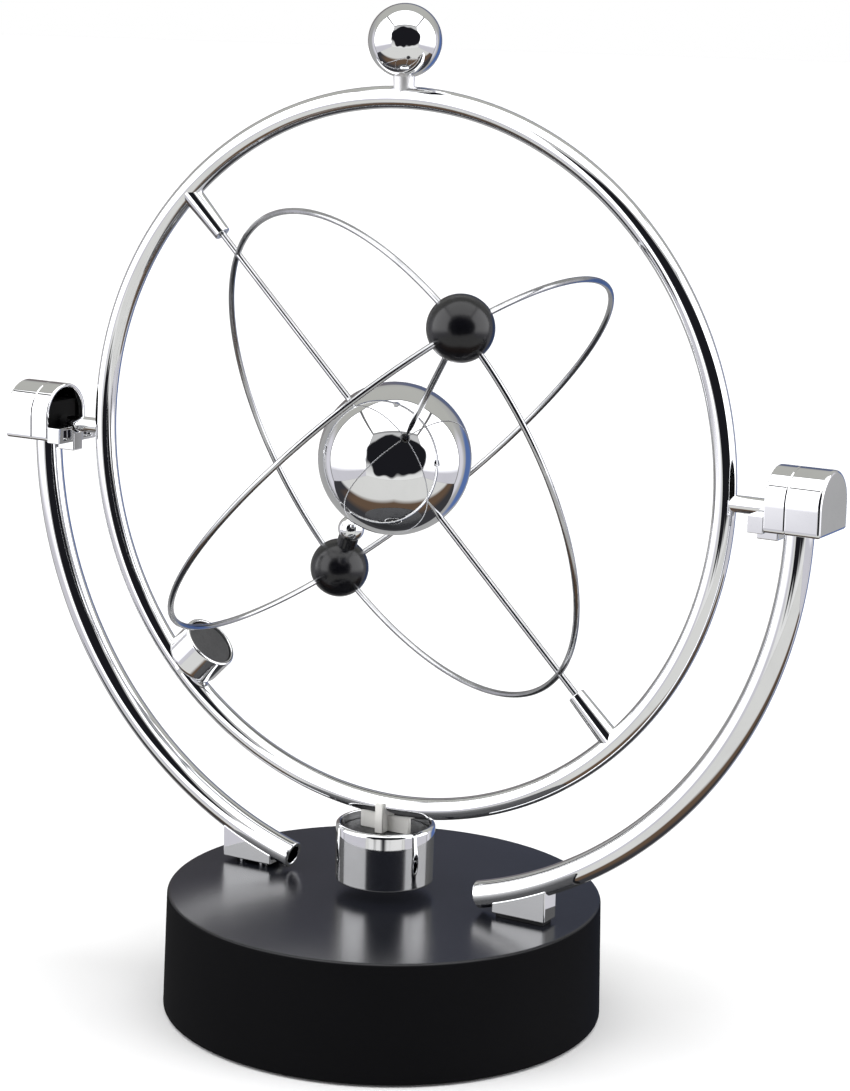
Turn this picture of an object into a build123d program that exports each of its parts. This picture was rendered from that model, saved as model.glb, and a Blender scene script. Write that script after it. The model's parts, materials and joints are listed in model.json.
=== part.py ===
from build123d import *
import os
from math import cos, degrees, radians, sin, sqrt

# Orbital desk pendulum: a round battery base carries two curved arms, a ring swings between the
# arms on two pivots, and a wire rotor with two balls spins inside the ring on a slanted axle.
# Millimetres. Origin at the middle of the underside of the feet, +Z up, +X along the ring's pivots.

os.makedirs("parts", exist_ok=True)

# ---------------------------------------------------------------- driving sizes
# Base drum
foot_stand = 0.6            # the drum's lower edge stands this far off the table
base_height = 29.4
base_top_radius = 54.6
base_bottom_radius = 55.3
base_wall = 2.4
base_roof = 2.5
base_edge_radius = 0.9

# Bottom plate, its feet and screws
plate_thickness = 2.0
plate_recess = 0.6          # plate underside above the drum's lower edge
plate_gap = 0.2
foot_radius = 5.0
foot_inset = 0.6            # how far a foot sinks into the plate
foot_circle = 45.0
post_radius = 3.4
post_circle = 46.0
post_angle = 32.0
screw_radius = 1.1
screw_clearance = 0.25
screw_head_radius = 2.1
screw_head_height = 0.6
screw_boss_wall = 0.4       # plastic left round a screw head

# Cells and their tray
cell_radius = 7.25
cell_length = 49.2
cell_button_radius = 2.7
cell_button_height = 1.3
cell_edge_radius = 0.5
cell_pitch = 14.9
cell_count = 4
cell_gap = 0.3
tray_wall = 1.3
contact_room = 2.0
contact_thickness = 0.4
contact_width = 7.0
spring_taper = 1.0          # a spring cup's small end is this much less in radius
hatch_lap = 2.4             # tray inside reaches this far past the hatch opening
hatch_gap = 0.25
hatch_thickness = 1.7
hatch_tab_width = 9.0
hatch_tab_length = 11.0
hatch_tab_thickness = 1.0
hatch_hook_width = 4.0
hatch_hook_thickness = 1.2
hatch_play = 0.1            # room over the tab and under the hooks
tab_screw_gap = 1.2         # hatch screw's head to the tray

# Drive coil and circuit board under the roof
coil_radius = 11.5
coil_height = 7.0
bobbin_hub_radius = 4.0
bobbin_flange = 0.8
winding_inset = 0.8         # winding's outside below the flange's edge
core_radius = 2.5
board_length = 16.0
board_width = 40.0
board_thickness = 1.6
board_centre_x = 24.0
board_drop = 4.2            # roof underside to the board's upper face
board_screw_span = 30.0
board_roof_left = 1.0       # plastic left over a board screw's hole
board_screw_play = 0.5
capacitor_radius = 2.5
capacitor_offset = (-3.0, 8.0)
chip_length = 4.5
chip_width = 3.5
chip_offset = (3.0, 3.5)
component_height = 1.6

# Arms and their feet
arm_over_ring = 18.6        # arm's centre line outside the ring's
arm_tube_radius = 3.45
arm_wall = 1.1
arm_sweep = 75.2
arm_head_gap = 0.6          # arm's head below the pivot needle
arm_end_gap = 0.6           # the cut end's lowest point above the base
arm_foot_inner = 32.4
arm_foot_outer = 47.0
arm_foot_width = 6.0
arm_foot_height = 8.0
arm_foot_grip = 1.7         # how far the foot laps up round the tube
arm_foot_undercut = 0.8     # a step runs round the foot's underside
arm_foot_step = 1.0
arm_screw_places = (36.5, 42.5)
arm_screw_gap = 1.0         # screw's tip below the tube

# Ring and its pivots
ring_radius = 88.0
ring_tube_radius = 2.75
ring_over_cup = 1.75        # ring's underside over the magnet cup's rim
pivot_drop = 0.9            # pivot axis below the ring's centre
pivot_stub_radius = 2.0
pivot_stub_entry = 0.9      # how far the thick stub goes into the hood
needle_radius = 1.0
needle_reach = 5.9          # how far the needle goes into the block
needle_end_gap = 1.0
running_gap = 0.05
socket_gap = 0.05
small_edge = 0.4

# Bearing heads on top of the arms
hood_over_arm = 5.6         # hood's mouth on the ring's side of the arm's centre line
hood_length = 13.6
hood_half_width = 8.3
hood_height = 14.6
hood_wall = 1.0
hood_drop = 4.3             # pivot axis above the hood's underside
hood_edge_radius = 0.7
block_front_gap = 0.5
block_side_gap = 1.1
tongue_reach = 4.0          # how far the tongue stands out of the hood
tongue_hang = 2.8           # how far its rib hangs below the hood
rib_width = 3.9
lip_height = 3.7            # tongue's top above the hood's underside
lip_lap = 0.4               # tongue's underside below the hood's
lip_inset = 0.2             # tongue's side inside the hood's
lip_thickness = 1.2         # part of it that stands inside the mouth
pocket_inner = 2.6          # pockets in the tongue's end, measured from its middle
pocket_outer = 6.0
pocket_wall = 0.7
pocket_depth = 1.5
part_gap = 0.35

# Top ball
top_ball_radius = 8.9
top_stub_show = 1.85        # length of stub between the ring and the ball
top_stub_radius = 2.7
top_stub_entry = 1.0
spigot_radius = 1.5
spigot_depth = 5.0

# Magnet cup under the ring
cup_radius = 12.55
cup_clearance = 3.1         # cup underside above the base
cup_height = 14.7
cup_wall = 1.2
cup_rim_radius = 1.1
cup_recess = 2.2            # rim above the magnet's upper face
magnet_gap = 0.1
stem_radius = 2.5
bracket_length = 13.9
bracket_depth = 7.0
bracket_thickness = 1.3
lug_width = 2.1
lug_reach = 3.7             # lug's outer face from the ring's plane
lug_clearance = 0.1         # lug to the ring's side
lug_height = 2.2

# Magnet cup on the ring's inner side, and the axle sleeves
side_boss_show = 0.65       # length of boss between the ring and the cup
side_cup_radius = 7.45
side_cup_length = 8.6
side_cup_wall = 0.9
side_cup_edge = 0.35
side_magnet_sink = 0.6
side_boss_radius = 3.0
sleeve_length = 11.85
sleeve_small_radius = 2.1
sleeve_large_radius = 2.65
axle_slant = 45.0           # axle below the horizontal, on the +X side

# Rotor
axle_radius = 0.8
axle_end_gap = 3.25         # axle's end to the ring's inside
ball_pass_gap = 1.4         # black ball to the side cup's face as it goes by
hoop_wire_radius = 0.75
ball_radius = 7.8
ball_phase = 35.0           # rotor turned this far about its axle
sphere_radius = 18.9
sphere_wall = 1.5
wire_end_gap = 3.6          # a wire's end to the ball's middle
ball_magnet_radius = 3.0
ball_magnet_height = 4.0
rod_radius = 0.75
rod_entry = 1.0             # rod's end beyond the sphere's wall
moon_radius = 3.5
moon_distance = 12.55       # from the rear ball's middle
moon_tilt = 33.0            # away from the line to the ring's centre
moon_turn = 135.0           # about that line, from the axle
moon_collar_radius = 2.7
moon_collar_sink = 1.0
moon_spigot_radius = 1.0
moon_spigot_start = 4.6

# ---------------------------------------------------------------- places worked out
base_top = foot_stand + base_height
roof_under = base_top - base_roof
cavity_radius = base_top_radius - base_wall
plate_bottom = foot_stand + plate_recess
plate_top = plate_bottom + plate_thickness
cup_bottom = base_top + cup_clearance
cup_top = cup_bottom + cup_height
magnet_top = cup_top - cup_recess
ring_foot = cup_top + ring_over_cup + ring_tube_radius
ring_height = ring_foot + ring_radius
axis_height = ring_height - pivot_drop
ring_inside = ring_radius - ring_tube_radius
arm_radius = ring_radius + arm_over_ring
arm_outside = arm_radius + arm_tube_radius
arm_centre_height = base_top + arm_end_gap + arm_outside * sin(radians(arm_sweep))
arm_head_top = axis_height - needle_radius - arm_head_gap
arm_screw_seat = arm_centre_height - sqrt(arm_outside**2 - arm_screw_places[0] ** 2)
arm_screw_reach = arm_screw_seat - arm_screw_gap - base_top

hood_inner_x = arm_radius - hood_over_arm
hood_outer_x = hood_inner_x + hood_length
hood_bottom = axis_height - hood_drop
hood_middle = hood_bottom + hood_height - hood_half_width
inner_half = hood_half_width - hood_wall
block_front_x = hood_inner_x + lip_thickness + block_front_gap
block_back_x = hood_outer_x - hood_wall
block_floor = hood_bottom + hood_wall
block_half_width = inner_half - block_side_gap
block_top = hood_middle + sqrt(inner_half**2 - block_half_width**2) - part_gap
pivot_stub_end = hood_inner_x + pivot_stub_entry
needle_end = block_front_x + needle_reach

side_cup_face = ring_inside - side_boss_show - side_cup_length
hoop_radius = side_cup_face - ball_pass_gap - ball_radius
sleeve_face = ring_inside - sleeve_length
axle_half_length = ring_inside - axle_end_gap

centre = Vector(0, 0, ring_height)
axle_dir = Vector(cos(radians(axle_slant)), 0, -sin(radians(axle_slant)))
across_dir = Vector(-sin(radians(axle_slant)), 0, -cos(radians(axle_slant)))
ball_dir = across_dir * -cos(radians(ball_phase)) + Vector(0, -sin(radians(ball_phase)), 0)
side_dir = ball_dir.cross(axle_dir)

cell_top = plate_top + cell_gap + 2 * cell_radius
tray_inner_x = cell_count * cell_pitch / 2
tray_inner_y = cell_length / 2 + cell_button_height / 2 + contact_room
opening_x = tray_inner_x - hatch_lap
opening_y = tray_inner_y - hatch_lap
post_points = [
    (sx * post_circle * cos(radians(post_angle)), sy * post_circle * sin(radians(post_angle)))
    for sx in (-1, 1)
    for sy in (-1, 1)
]
foot_points = [(foot_circle, 0), (-foot_circle, 0), (0, foot_circle), (0, -foot_circle)]
arm_screw_points = [(side * x, 0) for side in (-1, 1) for x in arm_screw_places]
board_top = roof_under - board_drop
board_screw_points = [(board_centre_x, s * board_screw_span / 2) for s in (-1, 1)]
hatch_screw_y = -(tray_inner_y + tray_wall + screw_head_radius + tab_screw_gap)
cell_places = [(i - (cell_count - 1) / 2) * cell_pitch for i in range(cell_count)]


def save(builder, name):
    """Label a finished piece and write it."""
    builder.part.label = name
    export_step(builder.part, f"parts/{name}.step")


def end_plane(side, distance):
    """Plane across the pivot axis, facing away from the ring: local x is Y, local y is height."""
    return Plane(origin=(side * distance, 0, 0), x_dir=(0, side, 0), z_dir=(side, 0, 0))


def ray_plane(direction, distance):
    """Plane at a distance from the ring's centre, facing outwards along a direction."""
    return Plane(origin=centre + direction * distance, x_dir=(0, 1, 0), z_dir=direction)


def screws(points, seat, shank_length):
    """Flat-headed screws driven from below: heads under the seat's height, shanks up from it."""
    with BuildPart() as group:
        with BuildSketch(Plane.XY.offset(seat)):
            with Locations(*points):
                Circle(screw_head_radius)
        extrude(amount=-screw_head_height)
        with BuildSketch(Plane.XY.offset(seat)):
            with Locations(*points):
                Circle(screw_radius)
        extrude(amount=shank_length)
    return group


def ball_at(plane, radius):
    """A solid ball round a plane's origin."""
    with BuildPart(plane) as ball:
        Sphere(radius)
    return ball.part


# ---------------------------------------------------------------- base drum
with BuildPart() as base_shell:
    with BuildSketch(Plane.XZ):
        with BuildLine():
            Polyline(
                (0, base_top),
                (base_top_radius, base_top),
                (base_bottom_radius, foot_stand),
                (cavity_radius, foot_stand),
                (cavity_radius, roof_under),
                (0, roof_under),
                close=True,
            )
        make_face()
    revolve(axis=Axis.Z)
    fillet(base_shell.edges().filter_by(GeomType.CIRCLE).group_by(Axis.Z)[-1], base_edge_radius)
    with BuildSketch(Plane.XY.offset(plate_top)):
        with Locations(*post_points):
            Circle(post_radius)
    extrude(amount=roof_under - plate_top)
    with BuildSketch(Plane.XY.offset(board_top)):
        with Locations(*board_screw_points):
            Circle(post_radius)
    extrude(amount=roof_under - board_top)
    with BuildSketch(Plane.XY.offset(plate_top)):
        with Locations(*post_points):
            Circle(screw_radius)
    extrude(amount=2 * plate_thickness + screw_radius, mode=Mode.SUBTRACT)
    with BuildSketch(Plane.XY.offset(board_top)):
        with Locations(*board_screw_points):
            Circle(screw_radius)
    extrude(amount=board_drop - board_roof_left, mode=Mode.SUBTRACT)
    with BuildSketch(Plane.XY.offset(roof_under)):
        with Locations(*arm_screw_points):
            Circle(screw_radius)
    extrude(amount=base_roof, mode=Mode.SUBTRACT)
save(base_shell, "base_shell")

# The plate closes the drum from below and carries the feet.
with BuildPart() as bottom_plate:
    with BuildSketch(Plane.XY.offset(plate_bottom)):
        Circle(cavity_radius - plate_gap)
        Rectangle(2 * opening_x, 2 * opening_y, mode=Mode.SUBTRACT)
        with Locations(*post_points):
            Circle(screw_radius + screw_clearance, mode=Mode.SUBTRACT)
    extrude(amount=plate_thickness)
    with BuildSketch(Plane.XY.offset(plate_top)):
        with Locations((0, hatch_screw_y)):
            Circle(screw_head_radius + screw_boss_wall)
    extrude(amount=2 * plate_thickness)
    with BuildSketch(Plane.XY.offset(plate_bottom)):
        with Locations(*foot_points):
            Circle(foot_radius)
    extrude(amount=foot_inset, mode=Mode.SUBTRACT)
    with BuildSketch(Plane.XY.offset(plate_bottom)):
        with Locations((0, -opening_y - hatch_tab_length / 2)):
            Rectangle(hatch_tab_width + 2 * hatch_gap, hatch_tab_length + 2 * hatch_gap)
    extrude(amount=hatch_tab_thickness + hatch_play, mode=Mode.SUBTRACT)
    with BuildSketch(Plane.XY.offset(plate_bottom)):
        with Locations((0, hatch_screw_y)):
            Circle(screw_radius)
    extrude(amount=2 * plate_thickness, mode=Mode.SUBTRACT)
save(bottom_plate, "bottom_plate")

plate_screws = screws(post_points, plate_bottom, 3 * plate_thickness)
save(plate_screws, "plate_screws")

with BuildPart() as rubber_feet:
    with BuildSketch():
        with Locations(*foot_points):
            Circle(foot_radius)
    extrude(amount=plate_bottom + foot_inset)
    fillet(rubber_feet.edges().group_by(Axis.Z)[0], small_edge)
save(rubber_feet, "rubber_feet")

# ---------------------------------------------------------------- battery bay
with BuildPart() as battery_tray:
    with BuildSketch(Plane.XY.offset(plate_top)):
        Rectangle(2 * (tray_inner_x + tray_wall), 2 * (tray_inner_y + tray_wall))
    extrude(amount=cell_top + cell_gap + tray_wall - plate_top)
    with BuildSketch(Plane.XY.offset(plate_top)):
        Rectangle(2 * tray_inner_x, 2 * tray_inner_y)
    extrude(amount=cell_top + cell_gap - plate_top, mode=Mode.SUBTRACT)
save(battery_tray, "battery_tray")

# A flat lid with a screwed tab; two hooks at the far side lap over the plate.
with BuildPart() as battery_hatch:
    with BuildSketch(Plane.XY.offset(plate_bottom)):
        Rectangle(2 * (opening_x - hatch_gap), 2 * (opening_y - hatch_gap))
    extrude(amount=hatch_thickness)
    with BuildSketch(Plane.XY.offset(plate_bottom)):
        with Locations((0, -opening_y - hatch_tab_length / 2 + hatch_gap)):
            Rectangle(hatch_tab_width, hatch_tab_length + 2 * hatch_gap)
        with Locations((0, hatch_screw_y)):
            Circle(screw_radius + screw_clearance, mode=Mode.SUBTRACT)
    extrude(amount=hatch_tab_thickness)
    hook_edge = opening_y - hatch_gap
    hook_top = plate_top + hatch_play + hatch_hook_thickness
    for hook_x in (-cell_pitch, cell_pitch):
        with BuildSketch(Plane(origin=(hook_x, 0, 0), x_dir=(0, 1, 0), z_dir=(1, 0, 0))):
            with BuildLine():
                Polyline(
                    (hook_edge, plate_bottom),
                    (hook_edge, hook_top - hatch_hook_thickness),
                    (opening_y + hatch_hook_thickness, hook_top - hatch_hook_thickness),
                    (opening_y + hatch_hook_thickness, hook_top),
                    (hook_edge - hatch_hook_thickness, hook_top),
                    (hook_edge - hatch_hook_thickness, plate_bottom),
                    close=True,
                )
            make_face()
        extrude(amount=hatch_hook_width / 2, both=True)
save(battery_hatch, "battery_hatch")

hatch_screw = screws([(0, hatch_screw_y)], plate_bottom, 1.5 * plate_thickness)
save(hatch_screw, "hatch_screw")

# Four cells lie side by side and point opposite ways in turn.
cell_axis = plate_top + cell_gap + cell_radius
for index, cell_x in enumerate(cell_places):
    way = 1 if index % 2 else -1
    tail = Plane(
        origin=(cell_x, -way * (cell_length + cell_button_height) / 2, cell_axis), z_dir=(0, way, 0)
    )
    with BuildPart() as cell:
        with BuildSketch(tail):
            Circle(cell_radius)
        extrude(amount=cell_length)
        fillet(cell.edges().filter_by(GeomType.CIRCLE), cell_edge_radius)
        with BuildSketch(tail.offset(cell_length)):
            Circle(cell_button_radius)
        extrude(amount=cell_button_height)
    save(cell, f"battery_{index + 1}")

with BuildPart() as button_contacts:
    for number, place in enumerate(cell_places):
        head = 1 if number % 2 else -1
        face = Plane(
            origin=(place, head * (cell_length + cell_button_height) / 2, cell_axis), z_dir=(0, head, 0)
        )
        with BuildSketch(face):
            Circle(contact_width / 2)
        extrude(amount=contact_room)
save(button_contacts, "button_contacts")

# Tail contacts are tapered spring cups between the cell's flat end and the tray's wall.
with BuildPart() as spring_contacts:
    for number, place in enumerate(cell_places):
        tail_side = -1 if number % 2 else 1
        face = Plane(
            origin=(place, tail_side * (cell_length + cell_button_height) / 2, cell_axis),
            z_dir=(0, tail_side, 0),
        )
        with BuildSketch(face):
            Circle(contact_width / 2 - spring_taper)
        with BuildSketch(face.offset(contact_room)):
            Circle(contact_width / 2)
        loft()
        with BuildSketch(face.offset(contact_thickness)):
            Circle(contact_width / 2 - spring_taper - contact_thickness)
        with BuildSketch(face.offset(contact_room)):
            Circle(contact_width / 2 - contact_thickness)
        loft(mode=Mode.SUBTRACT)
save(spring_contacts, "spring_contacts")

# ---------------------------------------------------------------- drive coil and board
coil_bottom = roof_under - coil_height
with BuildPart() as coil_bobbin:
    with BuildSketch(Plane.XY.offset(coil_bottom)):
        Circle(coil_radius)
    extrude(amount=bobbin_flange)
    with BuildSketch(Plane.XY.offset(coil_bottom)):
        Circle(bobbin_hub_radius)
    extrude(amount=coil_height)
    with BuildSketch(Plane.XY.offset(roof_under - bobbin_flange)):
        Circle(coil_radius)
    extrude(amount=bobbin_flange)
    with BuildSketch(Plane.XY.offset(coil_bottom)):
        Circle(core_radius)
    extrude(amount=coil_height, mode=Mode.SUBTRACT)
save(coil_bobbin, "coil_bobbin")

with BuildPart() as coil_winding:
    with BuildSketch(Plane.XY.offset(coil_bottom + bobbin_flange)):
        Circle(coil_radius - winding_inset)
        Circle(bobbin_hub_radius, mode=Mode.SUBTRACT)
    extrude(amount=coil_height - 2 * bobbin_flange)
save(coil_winding, "coil_winding")

with BuildPart() as coil_core:
    with BuildSketch(Plane.XY.offset(coil_bottom)):
        Circle(core_radius)
    extrude(amount=coil_height)
save(coil_core, "coil_core")

with BuildPart() as circuit_board:
    with BuildSketch(Plane.XY.offset(board_top - board_thickness)):
        with Locations((board_centre_x, 0)):
            Rectangle(board_length, board_width)
        with Locations(*board_screw_points):
            Circle(screw_radius + screw_clearance, mode=Mode.SUBTRACT)
    extrude(amount=board_thickness)
save(circuit_board, "circuit_board")

with BuildPart() as board_components:
    with BuildSketch(Plane.XY.offset(board_top)):
        with Locations(*[(board_centre_x + capacitor_offset[0], s * capacitor_offset[1]) for s in (-1, 1)]):
            Circle(capacitor_radius)
        with Locations(*[(board_centre_x + chip_offset[0], s * chip_offset[1]) for s in (-1, 1)]):
            Rectangle(chip_length, chip_width)
    extrude(amount=component_height)
save(board_components, "board_components")

board_screw_length = board_thickness + board_drop - board_roof_left - board_screw_play
board_screws = screws(board_screw_points, board_top - board_thickness, board_screw_length)
save(board_screws, "board_screws")

# ---------------------------------------------------------------- arms and their feet
arm_screws = screws(arm_screw_points, roof_under, base_roof + arm_screw_reach)
save(arm_screws, "arm_screws")

foot_length = arm_foot_outer - arm_foot_inner

for side, hand in ((-1, "left"), (1, "right")):
    turn_axis = Axis((0, 0, arm_centre_height), (0, side, 0))
    with BuildPart() as arm:
        with BuildSketch(Plane.XY.offset(arm_centre_height)) as tube_section:
            with Locations((side * arm_radius, 0)):
                Circle(arm_tube_radius)
                Circle(arm_tube_radius - arm_wall, mode=Mode.SUBTRACT)
        revolve(axis=turn_axis, revolution_arc=arm_sweep)
        extrude(tube_section.sketch, amount=arm_head_top - arm_centre_height)
    save(arm, f"{hand}_arm")

    # The foot is a wedge that fills the space between the tube and the base.
    with BuildPart() as tube_space:
        with BuildSketch(Plane.XY.offset(arm_centre_height)):
            with Locations((side * arm_radius, 0)):
                Circle(arm_tube_radius)
        revolve(axis=turn_axis, revolution_arc=arm_sweep)
    with BuildPart() as arm_foot:
        with BuildSketch(Plane.XZ):
            with BuildLine():
                Polyline(
                    (side * arm_foot_inner, base_top),
                    (side * arm_foot_outer, base_top),
                    (side * arm_foot_outer, base_top + arm_foot_height),
                    (side * arm_foot_inner, base_top + arm_foot_height),
                    close=True,
                )
            make_face()
            with Locations((0, arm_centre_height)):
                Circle(arm_outside - arm_foot_grip, mode=Mode.SUBTRACT)
        extrude(amount=arm_foot_width / 2, both=True)
        outer_edges = arm_foot.edges().filter_by(Axis.Z).sort_by(Axis.X)
        fillet(outer_edges[-2:] if side > 0 else outer_edges[:2], small_edge)
        add(tube_space.part, mode=Mode.SUBTRACT)
        with BuildSketch(Plane.XY.offset(base_top)):
            with Locations(*[(side * x, 0) for x in arm_screw_places]):
                Circle(screw_radius)
        extrude(amount=arm_screw_reach, mode=Mode.SUBTRACT)
        with BuildSketch(Plane.XY.offset(base_top)):
            with Locations((side * (arm_foot_inner + arm_foot_outer) / 2, 0)):
                Rectangle(foot_length, arm_foot_width)
                Rectangle(
                    foot_length - 2 * arm_foot_undercut,
                    arm_foot_width - 2 * arm_foot_undercut,
                    mode=Mode.SUBTRACT,
                )
        extrude(amount=arm_foot_step, mode=Mode.SUBTRACT)
    save(arm_foot, f"{hand}_arm_foot")


# ---------------------------------------------------------------- bearing heads
def d_outline(half_width, bottom, middle):
    """Flat-bottomed outline with a half-round top, drawn on a plane across the pivot axis."""
    with BuildSketch() as outline:
        with BuildLine():
            Polyline(
                (-half_width, middle), (-half_width, bottom), (half_width, bottom), (half_width, middle)
            )
            ThreePointArc((half_width, middle), (0, middle + half_width), (-half_width, middle))
        make_face()
    return outline.sketch


tongue_face = hood_inner_x - tongue_reach
rib_top = axis_height - pivot_stub_radius - part_gap
rib_bottom = hood_bottom - tongue_hang
lip_top = hood_bottom + lip_height
lip_bottom = hood_bottom - lip_lap
pocket_bottom = lip_bottom + pocket_wall
pocket_top = lip_top - pocket_wall

for side, hand in ((-1, "left"), (1, "right")):
    with BuildPart() as hood:
        with BuildSketch(end_plane(side, hood_inner_x)):
            add(d_outline(hood_half_width, hood_bottom, hood_middle))
        extrude(amount=hood_length)
        far_end = hood.faces().sort_by(Axis.X)[-1 if side > 0 else 0]
        fillet(far_end.edges(), hood_edge_radius)
        with BuildSketch(end_plane(side, hood_inner_x)):
            add(d_outline(inner_half, block_floor, hood_middle))
        extrude(amount=hood_length - hood_wall, mode=Mode.SUBTRACT)
        with BuildSketch(Plane.XY.offset(hood_bottom)):
            with Locations((side * arm_radius, 0)):
                Circle(arm_tube_radius + socket_gap)
            with Locations((side * (hood_inner_x + lip_thickness / 2), 0)):
                Rectangle(lip_thickness, rib_width)
        extrude(amount=hood_wall, mode=Mode.SUBTRACT)
    save(hood, f"{hand}_bearing_hood")

    # The tongue closes the lower mouth of the hood and stands out under the pivot. A rib hangs
    # below it and its end has two pockets.
    with BuildPart() as tongue:
        with BuildSketch(end_plane(side, tongue_face)):
            with Locations((0, (lip_top + lip_bottom) / 2)):
                Rectangle(2 * (hood_half_width - lip_inset), lip_top - lip_bottom)
        extrude(amount=tongue_reach)
        with BuildSketch(end_plane(side, hood_inner_x)):
            with Locations((0, (lip_top + block_floor) / 2)):
                Rectangle(2 * inner_half, lip_top - block_floor)
        extrude(amount=lip_thickness)
        with BuildSketch(end_plane(side, tongue_face)):
            with Locations((0, (rib_top + rib_bottom) / 2)):
                Rectangle(rib_width, rib_top - rib_bottom)
        extrude(amount=tongue_reach + lip_thickness)
        near_end = tongue.faces().sort_by(Axis.X)[0 if side > 0 else -1]
        fillet(near_end.edges(), small_edge)
        with BuildSketch(end_plane(side, tongue_face)):
            with Locations((0, axis_height)):
                Circle(pivot_stub_radius + part_gap)
        extrude(amount=tongue_reach + lip_thickness, mode=Mode.SUBTRACT)
        with BuildSketch(end_plane(side, tongue_face)):
            for half in (-1, 1):
                with Locations((half * (pocket_inner + pocket_outer) / 2, (pocket_top + pocket_bottom) / 2)):
                    Rectangle(pocket_outer - pocket_inner, pocket_top - pocket_bottom)
        extrude(amount=pocket_depth, mode=Mode.SUBTRACT)
    save(tongue, f"{hand}_bearing_tongue")

    # A plastic block inside the hood sits on the arm's head and carries the pivot needle.
    with BuildPart() as block:
        with BuildSketch(end_plane(side, block_front_x)):
            with Locations((0, (block_floor + block_top) / 2)):
                Rectangle(2 * block_half_width, block_top - block_floor)
        extrude(amount=block_back_x - block_front_x)
        with BuildSketch(Plane.XY.offset(block_floor)):
            with Locations((side * arm_radius, 0)):
                Circle(arm_tube_radius + socket_gap)
        extrude(amount=arm_head_top - block_floor, mode=Mode.SUBTRACT)
        with BuildSketch(end_plane(side, block_front_x)):
            with Locations((0, axis_height)):
                Circle(needle_radius + running_gap)
        extrude(amount=needle_reach + needle_end_gap, mode=Mode.SUBTRACT)
    save(block, f"{hand}_bearing_block")

# ---------------------------------------------------------------- ring and what is fixed to it
with BuildPart() as outer_ring:
    with BuildSketch(Plane.XY.offset(ring_height)):
        with Locations((ring_radius, 0)):
            Circle(ring_tube_radius)
    revolve(axis=Axis((0, 0, ring_height), (0, 1, 0)))
save(outer_ring, "outer_ring")

for side, hand in ((-1, "left"), (1, "right")):
    with BuildPart() as pivot:
        with BuildSketch(end_plane(side, ring_radius)):
            with Locations((0, axis_height)):
                Circle(pivot_stub_radius)
        extrude(amount=pivot_stub_end - ring_radius)
        with BuildSketch(end_plane(side, pivot_stub_end)):
            with Locations((0, axis_height)):
                Circle(needle_radius)
        extrude(amount=needle_end - pivot_stub_end)
        add(outer_ring.part, mode=Mode.SUBTRACT)
    save(pivot, f"{hand}_pivot")

ring_crown = ring_height + ring_radius
ball_height = ring_crown + ring_tube_radius + top_stub_show + top_ball_radius
with BuildPart() as top_ball:
    add(ball_at(Plane.XY.offset(ball_height), top_ball_radius))
    with BuildSketch(Plane.XY.offset(ball_height - top_ball_radius)):
        Circle(spigot_radius)
    extrude(amount=spigot_depth, mode=Mode.SUBTRACT)
save(top_ball, "top_ball")

with BuildPart() as top_stub:
    with BuildSketch(Plane.XY.offset(ring_crown)):
        Circle(top_stub_radius)
    extrude(amount=ball_height - top_ball_radius + top_stub_entry - ring_crown)
    with BuildSketch(Plane.XY.offset(ring_crown)):
        Circle(spigot_radius)
    extrude(amount=ball_height - top_ball_radius + spigot_depth - ring_crown)
    add(outer_ring.part, mode=Mode.SUBTRACT)
    add(top_ball.part, mode=Mode.SUBTRACT)
save(top_stub, "top_ball_stub")

# ---------------------------------------------------------------- magnet cup under the ring
with BuildPart() as magnet_cup:
    with BuildSketch(Plane.XY.offset(cup_bottom)):
        Circle(cup_radius)
    extrude(amount=cup_height)
    fillet(magnet_cup.edges().group_by(Axis.Z)[-1], cup_rim_radius)
    fillet(magnet_cup.edges().group_by(Axis.Z)[0], cup_rim_radius / 2)
    with BuildSketch(Plane.XY.offset(cup_bottom + cup_wall)):
        Circle(cup_radius - cup_wall)
    extrude(amount=cup_height, mode=Mode.SUBTRACT)
save(magnet_cup, "magnet_cup")

with BuildPart() as pendulum_magnet:
    with BuildSketch(Plane.XY.offset(cup_bottom + cup_wall)):
        Circle(cup_radius - cup_wall - magnet_gap)
        Circle(stem_radius + magnet_gap, mode=Mode.SUBTRACT)
    extrude(amount=magnet_top - cup_bottom - cup_wall)
save(pendulum_magnet, "pendulum_magnet")

# A cross-shaped bracket: its stem stands on the cup's floor and its ribs saddle the ring.
with BuildPart() as magnet_bracket:
    with BuildSketch(Plane.XY.offset(cup_bottom + cup_wall)):
        Circle(stem_radius)
    extrude(amount=magnet_top - cup_bottom - cup_wall)
    with BuildSketch(Plane.XY.offset(magnet_top)):
        Rectangle(bracket_length, bracket_thickness)
        Rectangle(lug_width, bracket_depth)
    extrude(amount=ring_foot - lug_height / 4 - magnet_top)
    lug_depth = lug_reach - ring_tube_radius - lug_clearance
    lug_y = lug_reach - lug_depth / 2
    with BuildSketch(Plane.XY.offset(ring_foot - lug_height / 2)):
        with Locations((0, lug_y), (0, -lug_y)):
            Rectangle(lug_width, lug_depth)
    extrude(amount=lug_height)
    add(outer_ring.part, mode=Mode.SUBTRACT)
save(magnet_bracket, "magnet_bracket")

# ---------------------------------------------------------------- side magnet cup and axle sleeves
cup_floor = side_cup_face + side_cup_length - side_cup_wall
with BuildPart() as side_cup:
    with BuildSketch(ray_plane(across_dir, side_cup_face)):
        Circle(side_cup_radius)
    extrude(amount=side_cup_length)
    fillet(side_cup.edges().filter_by(GeomType.CIRCLE), side_cup_edge)
    with BuildSketch(ray_plane(across_dir, side_cup_face)):
        Circle(side_cup_radius - side_cup_wall)
    extrude(amount=side_cup_length - side_cup_wall, mode=Mode.SUBTRACT)
    with BuildSketch(ray_plane(across_dir, cup_floor)):
        Circle(side_boss_radius)
    extrude(amount=ring_radius - cup_floor)
    add(outer_ring.part, mode=Mode.SUBTRACT)
save(side_cup, "side_magnet_cup")

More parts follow.
